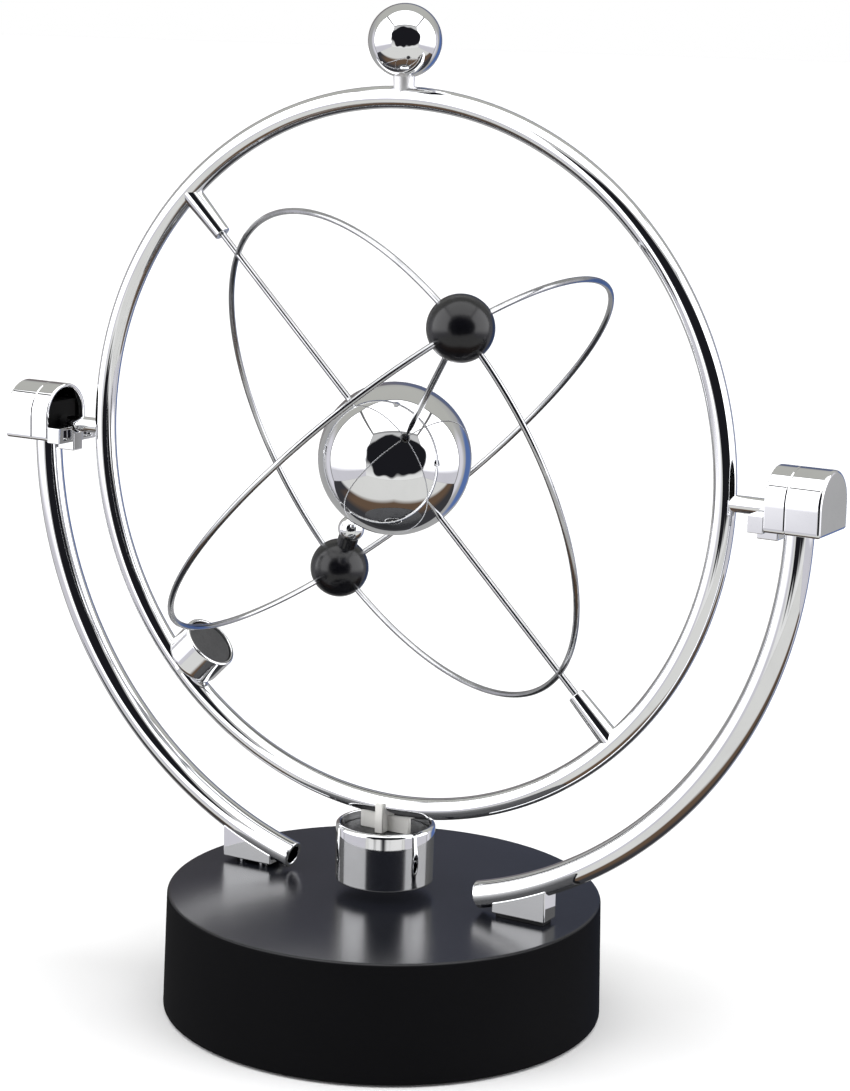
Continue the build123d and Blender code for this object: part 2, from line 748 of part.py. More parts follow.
with BuildPart() as side_magnet:
    with BuildSketch(ray_plane(across_dir, side_cup_face + side_magnet_sink)):
        Circle(side_cup_radius - side_cup_wall - magnet_gap)
    extrude(amount=cup_floor - side_cup_face - side_magnet_sink)
save(side_magnet, "side_magnet")

for way, place in ((-1, "upper"), (1, "lower")):
    outward = axle_dir * way
    with BuildPart() as sleeve:
        with BuildSketch(ray_plane(outward, sleeve_face)):
            Circle(sleeve_small_radius)
        with BuildSketch(ray_plane(outward, ring_radius)):
            Circle(sleeve_large_radius)
        loft()
        with BuildSketch(ray_plane(outward, sleeve_face)):
            Circle(axle_radius + running_gap)
        extrude(amount=axle_half_length + part_gap - sleeve_face, mode=Mode.SUBTRACT)
        add(outer_ring.part, mode=Mode.SUBTRACT)
    save(sleeve, f"{place}_axle_sleeve")

# ---------------------------------------------------------------- rotor
with BuildPart() as axle:
    with BuildSketch(ray_plane(axle_dir, -axle_half_length)):
        Circle(axle_radius)
    extrude(amount=2 * axle_half_length)
save(axle, "axle")

# Hoop wires: each hoop is two half rounds whose ends are held in the two balls.
wire_start = wire_end_gap / hoop_radius


def half_hoop(turn_dir, way):
    """Half a hoop, turned about a line through the ring's centre from one ball to the other."""
    start_dir = ball_dir * cos(wire_start) + turn_dir.cross(ball_dir) * (way * sin(wire_start))
    start = Plane(
        origin=centre + start_dir * hoop_radius, x_dir=turn_dir, z_dir=turn_dir.cross(start_dir)
    )
    with BuildPart() as wire:
        with BuildSketch(start):
            Circle(hoop_wire_radius)
        revolve(axis=Axis(centre, turn_dir * way), revolution_arc=180 - 2 * degrees(wire_start))
        add(axle.part, mode=Mode.SUBTRACT)
    return wire


# The orbit hoop lies square to the axle; the polar hoop runs through it.
hoops = []
for way, place in ((1, "front"), (-1, "back")):
    wire = half_hoop(axle_dir, way)
    hoops.append(wire)
    save(wire, f"orbit_hoop_{place}")
for way, place in ((-1, "upper"), (1, "lower")):
    wire = half_hoop(side_dir, way)
    hoops.append(wire)
    save(wire, f"polar_hoop_{place}")

rod_start = sphere_radius - sphere_wall - rod_entry
with BuildPart() as front_rod:
    with BuildSketch(ray_plane(ball_dir, rod_start)):
        Circle(rod_radius)
    extrude(amount=hoop_radius - wire_end_gap - rod_start)
save(front_rod, "front_rod")

ring_middle = ray_plane(ball_dir, 0)
with BuildPart() as center_sphere:
    add(ball_at(ring_middle, sphere_radius))
    add(ball_at(ring_middle, sphere_radius - sphere_wall), mode=Mode.SUBTRACT)
    add(axle.part, mode=Mode.SUBTRACT)
    add(front_rod.part, mode=Mode.SUBTRACT)
save(center_sphere, "center_sphere")

# A small ball on a collar stands on the rear ball; its spigot goes into that ball.
rear_middle = ray_plane(-ball_dir, hoop_radius)
moon_aside = axle_dir * cos(radians(moon_turn)) + side_dir * sin(radians(moon_turn))
moon_dir = ball_dir * cos(radians(moon_tilt)) + moon_aside * sin(radians(moon_tilt))
moon_base = rear_middle.origin
moon_across = Plane(origin=moon_base, z_dir=moon_dir).x_dir
moon_section = Plane(origin=moon_base, x_dir=moon_across, z_dir=moon_across.cross(moon_dir))
with BuildPart() as moon_ball:
    with BuildSketch(moon_section):
        with Locations((0, moon_distance)):
            Circle(moon_radius)
        with Locations((0, ball_radius - moon_collar_sink)):
            collar_length = moon_distance - ball_radius + moon_collar_sink
            Rectangle(2 * moon_collar_radius, collar_length, align=(Align.CENTER, Align.MIN))
        Circle(ball_radius, mode=Mode.SUBTRACT)
        with Locations((0, moon_spigot_start)):
            spigot_length = ball_radius - moon_spigot_start
            Rectangle(2 * moon_spigot_radius, spigot_length, align=(Align.CENTER, Align.MIN))
        split(bisect_by=Plane.YZ)
    revolve(axis=Axis(moon_base, moon_dir))
save(moon_ball, "moon_ball")

# Each black ball is two moulded halves that close on the wire ends and a small magnet.
for outward, place in ((ball_dir, "front"), (-ball_dir, "rear")):
    middle = ray_plane(outward, hoop_radius)
    with BuildPart() as ball_magnet:
        with BuildSketch(middle.offset(-ball_magnet_height / 2)):
            Circle(ball_magnet_radius)
        extrude(amount=ball_magnet_height)
    save(ball_magnet, f"{place}_ball_magnet")
    for keep, half in ((Keep.TOP, "outer"), (Keep.BOTTOM, "inner")):
        with BuildPart() as ball_half:
            add(ball_at(middle, ball_radius))
            split(bisect_by=middle, keep=keep)
            for held in (ball_magnet, front_rod, moon_ball, *hoops):
                add(held.part, mode=Mode.SUBTRACT)
        save(ball_half, f"{place}_ball_{half}_half")
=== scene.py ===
import bmesh
import bpy
import json
import math
import numpy as np
from mathutils import Matrix, Vector


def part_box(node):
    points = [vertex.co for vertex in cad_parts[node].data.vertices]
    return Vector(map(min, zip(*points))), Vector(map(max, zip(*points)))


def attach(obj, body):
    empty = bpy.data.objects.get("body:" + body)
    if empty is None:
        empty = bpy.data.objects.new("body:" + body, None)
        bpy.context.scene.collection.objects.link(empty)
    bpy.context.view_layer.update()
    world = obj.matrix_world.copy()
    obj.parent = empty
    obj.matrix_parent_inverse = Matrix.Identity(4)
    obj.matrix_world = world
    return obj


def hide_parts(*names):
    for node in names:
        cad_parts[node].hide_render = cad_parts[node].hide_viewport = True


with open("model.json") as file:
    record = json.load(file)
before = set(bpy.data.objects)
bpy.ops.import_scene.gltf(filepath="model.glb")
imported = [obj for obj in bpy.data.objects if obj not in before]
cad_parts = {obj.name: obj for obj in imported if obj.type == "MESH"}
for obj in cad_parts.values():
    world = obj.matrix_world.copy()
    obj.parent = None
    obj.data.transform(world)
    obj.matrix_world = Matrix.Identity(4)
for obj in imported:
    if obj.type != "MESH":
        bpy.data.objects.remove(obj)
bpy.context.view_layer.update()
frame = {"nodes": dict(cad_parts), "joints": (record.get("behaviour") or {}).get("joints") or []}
mm = 0.001

# ------------------------------------------------------------------ drum
# The base is one moulded drum of black plastic, closed on top, with a slight taper and a small
# rounded top edge. Its skin is a fine even grain, dull round the side and polished on the top, and
# its top is painted a shade lighter and bluer than its side, as painted light on the top.


def rounded_line(corners, radii, steps=6):
    """An open flat line through corners, each turned on an arc of its own radius. The arc's middle
    lies on the corner's bisector, and a holding point stands just before and after each arc."""
    hold = 1.08
    corners = np.array(corners, float)
    line = [corners[:1]]
    for before, corner, after, radius in zip(corners[:-2], corners[1:-1], corners[2:], radii):
        back = (before - corner) / np.linalg.norm(before - corner)
        ahead = (after - corner) / np.linalg.norm(after - corner)
        half = math.acos(np.clip(back @ ahead, -1, 1)) / 2
        reach = radius / math.tan(half)
        middle = corner + (back + ahead) / np.linalg.norm(back + ahead) * radius / math.sin(half)
        first, last = corner + back * reach - middle, corner + ahead * reach - middle
        turn = math.atan2(first[0] * last[1] - first[1] * last[0], first @ last)
        angle = np.linspace(0, turn, steps)[:, None]
        square = np.array([-first[1], first[0]])
        arc = middle + first * np.cos(angle) + square * np.sin(angle)
        line += [corner + back * reach * hold, arc, corner + ahead * reach * hold]
    line.append(corners[-1:])
    return np.vstack([np.atleast_2d(part) for part in line])


def lay_surface(name, rows, loop=False, start=None, end=None):
    """A closed surface from rows of points: each row is a ring, quads join one ring to the next, the
    last to the first if loop, and a fan closes an end on its pole point. Faces are turned outwards
    by the sign of the volume that they enclose."""
    count, around = rows.shape[:2]
    points = rows.reshape(-1, 3)
    row = np.arange(count if loop else count - 1)[:, None]
    column = np.arange(around)[None, :]
    here, there = row * around, (row + 1) % count * around
    beside = (column + 1) % around
    quads = np.stack([here + column, here + beside, there + beside, there + column], -1).reshape(-1, 4)
    fans = []
    for pole, ring, way in ((start, 0, -1), (end, (count - 1) * around, 1)):
        if pole is not None:
            points = np.vstack([points, pole])
            tip = np.full(around, len(points) - 1)
            fans.append(np.stack([ring + column[0], ring + beside[0], tip], -1)[:, ::way])
    halves = np.vstack([quads[:, [0, 1, 2]], quads[:, [0, 2, 3]], *fans])
    a, b, c = (points[halves[:, k]] for k in range(3))
    way = 1 if np.einsum("ij,ij->", a, np.cross(b, c)) > 0 else -1
    faces = quads[:, ::way].tolist() + [face for fan in fans for face in fan[:, ::way].tolist()]
    mesh = bpy.data.meshes.new(name)
    mesh.from_pydata(points.tolist(), [], faces)
    mesh.polygons.foreach_set("use_smooth", np.ones(len(mesh.polygons), bool))
    mesh.update()
    piece = bpy.data.objects.new(name, mesh)
    bpy.context.scene.collection.objects.link(piece)
    return piece


def across(axis):
    """Two directions square to an axis and to each other."""
    axis = np.array(axis, float)
    first = np.cross(axis, (0, 1, 0) if abs(axis[1]) < 0.9 else (1, 0, 0))
    first = first / np.linalg.norm(first)
    return first, np.cross(axis, first)


def turned(name, profile, base, axis=(0, 0, 1), around=96):
    """A turned solid: each profile point (height, radius) goes round the axis as a circle, and an
    end whose radius is nothing closes on its pole."""
    profile, base, axis = np.array(profile, float), np.array(base, float), np.array(axis, float)
    first, second = across(axis)
    height, radius = profile[:, 0], profile[:, 1]
    angle = np.arange(around) * 2 * np.pi / around
    ring = np.cos(angle)[:, None] * first + np.sin(angle)[:, None] * second
    inside = radius > 1e-9
    rows = base + height[inside, None, None] * axis + radius[inside, None, None] * ring
    start = None if inside[0] else base + height[0] * axis
    end = None if inside[-1] else base + height[-1] * axis
    closed = bool(inside[0] and inside[-1])
    return lay_surface(name, rows, loop=closed, start=start, end=end)


def new_material(name, **values):
    """A material of one Principled BSDF, its sockets set by name, with its nodes, links and shader."""
    material = bpy.data.materials.new(name)
    material.use_nodes = True
    nodes, links = material.node_tree.nodes, material.node_tree.links
    shader = nodes["Principled BSDF"]
    for socket, value in values.items():
        shader.inputs[socket.replace("_", " ")].default_value = value
    return material, nodes, links, shader


def object_place(nodes):
    """Object coordinates, which a pattern on a piece is read at."""
    return nodes.new("ShaderNodeTexCoord").outputs["Object"]


def texture(tree, kind, place, **values):
    """A texture read at a place, its sockets set by name to a number or to another node's output."""
    made = tree.nodes.new(f"ShaderNodeTex{kind}")
    tree.links.new(place, made.inputs["Vector"])
    for socket, value in values.items():
        entry = made.inputs[socket.replace("_", " ")]
        if isinstance(value, bpy.types.NodeSocket):
            tree.links.new(value, entry)
        else:
            entry.default_value = value
    return made


def place_group(nodes, links, tree, **values):
    """A node group placed in a material, fed with Object coordinates and its own values."""
    group = nodes.new("ShaderNodeGroup")
    group.node_tree = tree
    links.new(object_place(nodes), group.inputs["Place"])
    for socket, value in values.items():
        group.inputs[socket.replace("_", " ")].default_value = value
    return group


def mix_colours(nodes, links, mask, first, second):
    """A colour that runs from first to second with a mask."""
    mix = nodes.new("ShaderNodeMix")
    mix.data_type = "RGBA"
    for place, colour in ((6, first), (7, second)):
        if isinstance(colour, tuple):
            mix.inputs[place].default_value = (*colour, 1)
        else:
            links.new(colour, mix.inputs[place])
    links.new(mask, mix.inputs[0])
    return mix.outputs[2]


def map_mask(nodes, links, mask, low, high, from_low=0.0, from_high=1.0):
    """A number that runs from low to high with a mask."""
    spread = nodes.new("ShaderNodeMapRange")
    spread.inputs["From Min"].default_value = from_low
    spread.inputs["From Max"].default_value = from_high
    spread.inputs["To Min"].default_value = low
    spread.inputs["To Max"].default_value = high
    links.new(mask, spread.inputs["Value"])
    return spread.outputs["Result"]


def add_bump(nodes, links, shader, height, strength, distance):
    """A height that tilts the shader's normal."""
    bump = nodes.new("ShaderNodeBump")
    bump.inputs["Strength"].default_value = strength
    bump.inputs["Distance"].default_value = distance
    links.new(height, bump.inputs["Height"])
    links.new(bump.outputs["Normal"], shader.inputs["Normal"])


def start_group(name, inputs, outputs):
    """A new node group with named inputs and outputs. Returns tree, input node, output node."""
    tree = bpy.data.node_groups.new(name, "ShaderNodeTree")
    for socket, kind, value in inputs:
        made = tree.interface.new_socket(name=socket, in_out="INPUT", socket_type=kind)
        if value is not None:
            made.default_value = value
    for socket, kind in outputs:
        tree.interface.new_socket(name=socket, in_out="OUTPUT", socket_type=kind)
    return tree, tree.nodes.new("NodeGroupInput"), tree.nodes.new("NodeGroupOutput")


# Moulded grain: small even pits from the mould, with slow drifts of shade over the part.
moulded_grain, grain_in, grain_out = start_group(
    "moulded_grain",
    [("Place", "NodeSocketVector", None), ("Pits per metre", "NodeSocketFloat", 2600.0)],
    [("Height", "NodeSocketFloat"), ("Drift", "NodeSocketFloat")],
)
place = grain_in.outputs["Place"]
pits = texture(moulded_grain, "Noise", place, Scale=grain_in.outputs["Pits per metre"], Detail=2.0)
drift = texture(moulded_grain, "Noise", place, Scale=22.0, Detail=3.0)
moulded_grain.links.new(pits.outputs["Fac"], grain_out.inputs["Height"])
moulded_grain.links.new(drift.outputs["Fac"], grain_out.inputs["Drift"])


def moulded(name, dark, light, roughness, pits_per_metre=2600.0, depth=0.02 * mm, specular=0.5):
    """Moulded plastic or rubber: two near shades, a roughness that drifts, and a fine grain."""
    material, nodes, links, shader = new_material(name, Specular_IOR_Level=specular)
    grain = place_group(nodes, links, moulded_grain, Pits_per_metre=pits_per_metre)
    links.new(mix_colours(nodes, links, grain.outputs["Drift"], dark, light), shader.inputs["Base Color"])
    links.new(
        map_mask(nodes, links, grain.outputs["Drift"], roughness - 0.05, roughness + 0.05),
        shader.inputs["Roughness"],
    )
    add_bump(nodes, links, shader, grain.outputs["Height"], 0.5, depth)
    return material


def dress(piece, material):
    """Gives a piece, or the CAD node of that name, its material."""
    mesh = (frame["nodes"][piece] if isinstance(piece, str) else piece).data
    mesh.materials.clear()
    mesh.materials.append(material)


drum_low, drum_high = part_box("base_shell")
drum_radius = drum_high.x
drum_draft = 0.7 * mm
drum_wall = 3.1 * mm
drum_roof = 2.5 * mm
drum_edge = 0.9 * mm
drum_height = drum_high.z - drum_low.z
drum_outline = rounded_line(
    [
        (drum_height, 0),
        (drum_height, drum_radius - drum_draft),
        (0, drum_radius),
        (0, drum_radius - drum_wall),
        (drum_height - drum_roof, drum_radius - drum_wall),
        (drum_height - drum_roof, 0),
    ],
    [drum_edge, 0.35 * mm, 0.35 * mm, 0.5 * mm],
    steps=9,
)
drum = turned("drum", drum_outline, (0, 0, drum_low.z), around=256)

drum_plastic, nodes, links, shader = new_material(
    "drum_plastic", Specular_IOR_Level=0.03, Coat_Roughness=0.23, Coat_IOR=1.56
)
grain = place_group(nodes, links, moulded_grain, Pits_per_metre=3400.0)
facing = nodes.new("ShaderNodeNewGeometry")
upward = nodes.new("ShaderNodeSeparateXYZ")
links.new(facing.outputs["Normal"], upward.inputs["Vector"])
top_mask = map_mask(nodes, links, upward.outputs["Z"], 0.0, 1.0, 0.5, 0.95)
links.new(map_mask(nodes, links, grain.outputs["Drift"], 0.66, 0.76), shader.inputs["Roughness"])
gloss = nodes.new("ShaderNodeMath")
gloss.operation = "MULTIPLY"
links.new(top_mask, gloss.inputs[0])
links.new(map_mask(nodes, links, grain.outputs["Drift"], 0.85, 1.1), gloss.inputs[1])
links.new(gloss.outputs[0], shader.inputs["Coat Weight"])
side_black = mix_colours(
    nodes, links, grain.outputs["Drift"], (0.0034, 0.0034, 0.0039), (0.006, 0.006, 0.0068)
)
# Painted light: the top's black is a shade lighter and bluer than the side's, picked by the upward-facing
# mask.
painted_lit_top_black = mix_colours(
    nodes, links, grain.outputs["Drift"], (0.005, 0.0056, 0.0082), (0.008, 0.009, 0.0138)
)
links.new(mix_colours(nodes, links, top_mask, side_black, painted_lit_top_black), shader.inputs["Base Color"])
add_bump(nodes, links, shader, grain.outputs["Height"], 0.35, 0.012 * mm)
dress(drum, drum_plastic)
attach(drum, "stand")
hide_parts("base_shell")
dress("base_shell", drum_plastic)

# ------------------------------------------------------------------ bottom plate and battery hatch
# A flat moulded plate closes the drum from below. Its hatch is a separate lid of the same plastic
# with a screwed tab. Both are a coarser, duller black than the drum.
plate_plastic = moulded("plate_plastic", (0.016, 0.016, 0.017), (0.024, 0.024, 0.025), 0.55, 1700.0)
dress("bottom_plate", plate_plastic)
dress("battery_hatch", moulded("hatch_plastic", (0.019, 0.019, 0.02), (0.028, 0.028, 0.03), 0.5, 1500.0))

# ------------------------------------------------------------------ feet
# Four soft rubber pads keep the drum off the table. They are moulded, black and matt, and glued
# into shallow seats in the bottom plate.


def bar_outline(start, end, radius, start_round, end_round):
    """The profile of a plain bar or disc, for turning: both rims are rounded."""
    return rounded_line([(start, 0), (start, radius), (end, radius), (end, 0)], [start_round, end_round])


foot_low, foot_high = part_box("rubber_feet")
foot_radius = 5.0 * mm
foot_circle = foot_high.x - foot_radius
foot_rubber = moulded("foot_rubber", (0.012, 0.012, 0.012), (0.022, 0.022, 0.022), 0.8, 1200.0, 0.05 * mm)
foot_outline = bar_outline(0, foot_high.z, foot_radius, 0.45 * mm, 0.15 * mm)
feet = [
    turned(f"rubber_foot_{number + 1}", foot_outline, (foot_circle * x, foot_circle * y, 0), around=64)
    for number, (x, y) in enumerate([(1, 0), (0, 1), (-1, 0), (0, -1)])
]
for foot in feet:
    dress(foot, foot_rubber)
    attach(foot, "stand")
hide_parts("rubber_feet")
dress("rubber_feet", foot_rubber)

# ------------------------------------------------------------------ screws
# Pan-head screws hold the plate, the hatch, the board and the arms' feet. They are steel with a
# thin bluish zinc plating, slightly dulled.

# Handling marks: broad cloudy smears and a few hairlines, as on any polished metal.
handling_marks, marks_in, marks_out = start_group(
    "handling_marks",
    [
        ("Place", "NodeSocketVector", None),
        ("Smears per metre", "NodeSocketFloat", 60.0),
        ("Hairlines per metre", "NodeSocketFloat", 900.0),
    ],
    [("Smear", "NodeSocketFloat"), ("Hairline", "NodeSocketFloat")],
)
nodes, links = handling_marks.nodes, handling_marks.links
smear_scale, hairline_scale = marks_in.outputs["Smears per metre"], marks_in.outputs["Hairlines per metre"]
smear = texture(
    handling_marks,
    "Noise",
    marks_in.outputs["Place"],
    Scale=smear_scale,
    Detail=5.0,
    Roughness=0.6,
    Distortion=0.6,
)
stretch = nodes.new("ShaderNodeVectorMath")
stretch.operation = "MULTIPLY"
stretch.inputs[1].default_value = (1.0, 0.06, 0.5)
links.new(marks_in.outputs["Place"], stretch.inputs[0])
hairline = texture(handling_marks, "Noise", stretch.outputs["Vector"], Scale=hairline_scale, Detail=1.0)
smear_mask = map_mask(nodes, links, smear.outputs["Fac"], 0.0, 1.0, 0.42, 0.72)
hairline_mask = map_mask(nodes, links, hairline.outputs["Fac"], 0.0, 1.0, 0.62, 0.70)
links.new(smear_mask, marks_out.inputs["Smear"])
links.new(hairline_mask, marks_out.inputs["Hairline"])


def polished(name, clean, marked, roughness, haze, smears_per_metre=60.0, metallic=1.0):
    """Bare or plated metal: smears dull its colour and roughness, hairlines tilt its face a little."""
    material, nodes, links, shader = new_material(name, Metallic=metallic)
    marks = place_group(nodes, links, handling_marks, Smears_per_metre=smears_per_metre)
    links.new(mix_colours(nodes, links, marks.outputs["Smear"], clean, marked), shader.inputs["Base Color"])
    links.new(
        map_mask(nodes, links, marks.outputs["Smear"], roughness, roughness + haze),
        shader.inputs["Roughness"],
    )
    add_bump(nodes, links, shader, marks.outputs["Hairline"], 0.08, 0.003 * mm)
    return material


zinc = polished("zinc_plate", (0.62, 0.63, 0.66), (0.5, 0.5, 0.52), 0.22, 0.2, 300.0)
for node in ("plate_screws", "hatch_screw", "board_screws", "arm_screws"):
    dress(node, zinc)

# ------------------------------------------------------------------ inside the drum
# A plastic tray holds the cells between nickel-plated contacts. The drive coil hangs under the
# roof, copper on a nylon bobbin round an iron core, beside the circuit board.
dress("battery_tray", moulded("tray_plastic", (0.03, 0.03, 0.031), (0.042, 0.042, 0.044), 0.5, 1800.0))
contact_metal = polished("contact_nickel", (0.72, 0.68, 0.58), (0.58, 0.54, 0.46), 0.25, 0.2, 200.0)
dress("spring_contacts", contact_metal)
dress("button_contacts", contact_metal)
dress("coil_core", polished("core_iron", (0.3, 0.3, 0.31), (0.2, 0.19, 0.18), 0.45, 0.2, 300.0))
dress("coil_bobbin", moulded("bobbin_nylon", (0.62, 0.6, 0.54), (0.7, 0.68, 0.62), 0.45, 2200.0))
component_black = moulded("component_black", (0.02, 0.02, 0.02), (0.035, 0.035, 0.035), 0.5, 3000.0)
dress("board_components", component_black)

copper, nodes, links, shader = new_material("coil_copper", Metallic=1.0)
turns = texture(copper.node_tree, "Wave", object_place(nodes), Scale=700.0, Distortion=0.4)
turns.bands_direction = "Z"
links.new(
    mix_colours(nodes, links, turns.outputs["Fac"], (0.36, 0.13, 0.05), (0.72, 0.31, 0.14)),
    shader.inputs["Base Color"],
)
links.new(map_mask(nodes, links, turns.outputs["Fac"], 0.4, 0.22), shader.inputs["Roughness"])
add_bump(nodes, links, shader, turns.outputs["Fac"], 0.6, 0.1 * mm)
dress("coil_winding", copper)

laminate, nodes, links, shader = new_material("board_laminate")
tracks = texture(
    laminate.node_tree,
    "Brick",
    object_place(nodes),
    Scale=240.0,
    Mortar_Size=0.06,
    Color1=(0.008, 0.06, 0.022, 1),
    Color2=(0.01, 0.075, 0.028, 1),
    Mortar=(0.03, 0.15, 0.06, 1),
)
links.new(tracks.outputs["Color"], shader.inputs["Base Color"])
links.new(map_mask(nodes, links, tracks.outputs["Fac"], 0.32, 0.24), shader.inputs["Roughness"])
add_bump(nodes, links, shader, tracks.outputs["Fac"], 0.4, 0.05 * mm)
dress("circuit_board", laminate)

# The cells wear a plain two-tone jacket: a pale band towards one end.
cell_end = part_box("battery_1")[1].y
jacket, nodes, links, shader = new_material("cell_jacket", Metallic=0.6)
marks = place_group(nodes, links, handling_marks, Smears_per_metre=150.0)
along = nodes.new("ShaderNodeSeparateXYZ")
links.new(object_place(nodes), along.inputs["Vector"])
band_width = 15 * mm
band_edge = 0.2 * mm
band_start = cell_end - band_width
band = map_mask(nodes, links, along.outputs["Y"], 0.0, 1.0, band_start, band_start + band_edge)
links.new(
    mix_colours(nodes, links, band, (0.02, 0.024, 0.03), (0.5, 0.33, 0.1)), shader.inputs["Base Color"]
)
links.new(map_mask(nodes, links, marks.outputs["Smear"], 0.22, 0.36), shader.inputs["Roughness"])
add_bump(nodes, links, shader, marks.outputs["Hairline"], 0.1, 0.01 * mm)
for number in range(1, 5):
    dress(f"battery_{number}", jacket)

# ------------------------------------------------------------------ arms
# Two steel tubes bent to an arc and chrome plated. Each foot end is sawn square, its lip lightly
# broken, so that the bore shows; the head end goes up into the bearing head.


def ring_rows(path, first, second, radius, around):
    """Rings carried along a path: at each path point a circle of its own radius lies in the plane
    of its two directions."""
    angle = np.arange(around) * 2 * np.pi / around
    turn = np.cos(angle)[None, :, None] * first[:, None] + np.sin(angle)[None, :, None] * second[:, None]
    return path[:, None] + radius[:, None, None] * turn


def arc_points(middle, outward, sideways, radius, angles):
    """Points on an arc and the arc's outward direction at each: outward turned by the angle
    towards sideways."""
    turn = np.cos(angles)[:, None] * outward + np.sin(angles)[:, None] * sideways
    return middle + radius * turn, turn


chrome = polished("chrome_plate", (0.86, 0.865, 0.875), (0.80, 0.805, 0.815), 0.02, 0.035, 45.0)

arm_low, arm_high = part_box("right_arm")
arm_tube = (arm_high.y - arm_low.y) / 2
arm_radius = arm_high.x - arm_tube
arm_head = 0.8 * mm
arm_middle = np.array([0.0, 0.0, arm_high.z - arm_head])
arm_sweep = math.radians(75.2)
arm_wall = 1.1 * mm
arm_lip = 0.3 * mm
arm_steps = 150
for side, hand in ((-1, "left"), (1, "right")):
    down_arm = np.linspace(0, arm_sweep - arm_lip / arm_radius, arm_steps)
    lip_turn = np.linspace(0, np.pi / 2, 6)
    lip_out = arm_sweep + (np.sin(lip_turn) - 1) * arm_lip / arm_radius
    angles = np.concatenate([down_arm, lip_out[1:], lip_out[::-1], down_arm[::-1]])
    outer_lip = arm_tube - arm_lip * (1 - np.cos(lip_turn[1:]))
    inner_lip = arm_tube - arm_wall + arm_lip * (1 - np.cos(lip_turn[::-1]))
    radii = np.concatenate(
        [np.full(arm_steps, arm_tube), outer_lip, inner_lip, np.full(arm_steps, arm_tube - arm_wall)]
    )
    path, outward = arc_points(
        arm_middle, np.array([side, 0.0, 0.0]), np.array([0.0, 0.0, -1.0]), arm_radius, angles
    )
    sideways = np.broadcast_to([0.0, 1.0, 0.0], outward.shape)
    rows = ring_rows(path, outward, sideways, radii, 96)
    head = rows[[-1, 0]] + [0, 0, arm_head]
    arm = lay_surface(f"{hand}_arm_tube", np.concatenate([rows, head]), loop=True)
    dress(arm, chrome)
    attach(arm, "stand")
    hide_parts(f"{hand}_arm")
    dress(f"{hand}_arm", chrome)

# ------------------------------------------------------------------ arm feet
# Each arm stands on a small cast wedge, hollowed on top to the tube and chrome plated with it. Its
# foot is stepped in and painted dark, as painted shadow under the wedge, and two screws come up into it
# from inside the drum.


# Painted shadow: the stepped-in seat gets a near-black finish that stands in for the dark shadow line under
# each wedge.
painted_shadow_casting = polished("painted_shadow_casting", (0.045, 0.045, 0.047), (0.03, 0.03, 0.03), 0.5, 0.2, 300.0)


def finish_block(name, mesh, edge):
    """Turns a flat-faced mesh into a piece whose sharp edges are broken by a small round."""
    mesh.update()
    mesh.validate()
    piece = bpy.data.objects.new(name, mesh)
    bpy.context.scene.collection.objects.link(piece)
    faces_out = bmesh.new()
    faces_out.from_mesh(mesh)
    bmesh.ops.recalc_face_normals(faces_out, faces=faces_out.faces)
    faces_out.to_mesh(mesh)
    faces_out.free()
    broken = piece.modifiers.new("edge", "BEVEL")
    broken.width = edge
    broken.segments = 3
    broken.angle_limit = math.radians(40)
    broken.harden_normals = True
    return piece


def prism(name, outline, start, length, across_dir, up_dir, edge):
    """A flat outline pushed along the third direction: outline (a, b) lies along two directions
    from the start point, and the far face is the near face moved by length. Edges are broken."""
    outline = np.array(outline, float)
    start, across_dir, up_dir = (np.array(v, float) for v in (start, across_dir, up_dir))
    push = np.cross(across_dir, up_dir) * length
    near = start + outline[:, :1] * across_dir + outline[:, 1:] * up_dir
    points = np.vstack([near, near + push])
    count = len(outline)
    index = np.arange(count)
    ahead = (index + 1) % count
    walls = np.stack([index, ahead, ahead + count, index + count], -1).tolist()
    mesh = bpy.data.meshes.new(name)
    mesh.from_pydata(points.tolist(), [], walls + [index[::-1].tolist(), (index + count).tolist()])
    x, y = outline[:, 0], outline[:, 1]
    if np.sum(x * np.roll(y, -1) - np.roll(x, -1) * y) * length < 0:
        mesh.flip_normals()
    return finish_block(name, mesh, edge)


def rectangle(left, right, low, high):
    """Four corners, for a prism."""
    return [(left, low), (right, low), (right, high), (left, high)]


for side, hand in ((-1, "left"), (1, "right")):
    foot_low, foot_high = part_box(f"{hand}_arm_foot")
    near_x, far_x = sorted((abs(foot_low.x), abs(foot_high.x)))
    saddle_depth = 1.7 * mm
    saddle_radius = arm_radius + arm_tube - saddle_depth
    foot_step, undercut = 1.0 * mm, 0.8 * mm
    saddle_x = np.linspace(far_x, near_x, 24)
    saddle_z = arm_middle[2] - np.sqrt(saddle_radius**2 - saddle_x**2)
    step_z = foot_low.z + foot_step
    outline = [(near_x, step_z), (far_x, step_z), *zip(saddle_x, saddle_z)]
    wedge = prism(
        f"{hand}_wedge",
        [(side * x, z) for x, z in outline],
        (0, foot_high.y, 0),
        foot_high.y - foot_low.y,
        (1, 0, 0),
        (0, 0, 1),
        edge=0.35 * mm,
    )
    seat = prism(
        f"{hand}_wedge_seat",
        rectangle(near_x + undercut, far_x - undercut, foot_low.z, step_z + undercut),
        (0, foot_high.y - undercut, 0),
        foot_high.y - foot_low.y - 2 * undercut,
        (side, 0, 0),
        (0, 0, 1),
        edge=0.1 * mm,
    )
    dress(wedge, chrome)
    dress(seat, painted_shadow_casting)
    for piece in (wedge, seat):
        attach(piece, "stand")
    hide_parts(f"{hand}_arm_foot")
    dress(f"{hand}_arm_foot", chrome)

# ------------------------------------------------------------------ bearing heads
# Each arm ends in a D-shaped plated cap, open towards the ring, in two shells whose joint shows as
# a hairline. Inside sits a black nylon block that carries the ring's pivot.


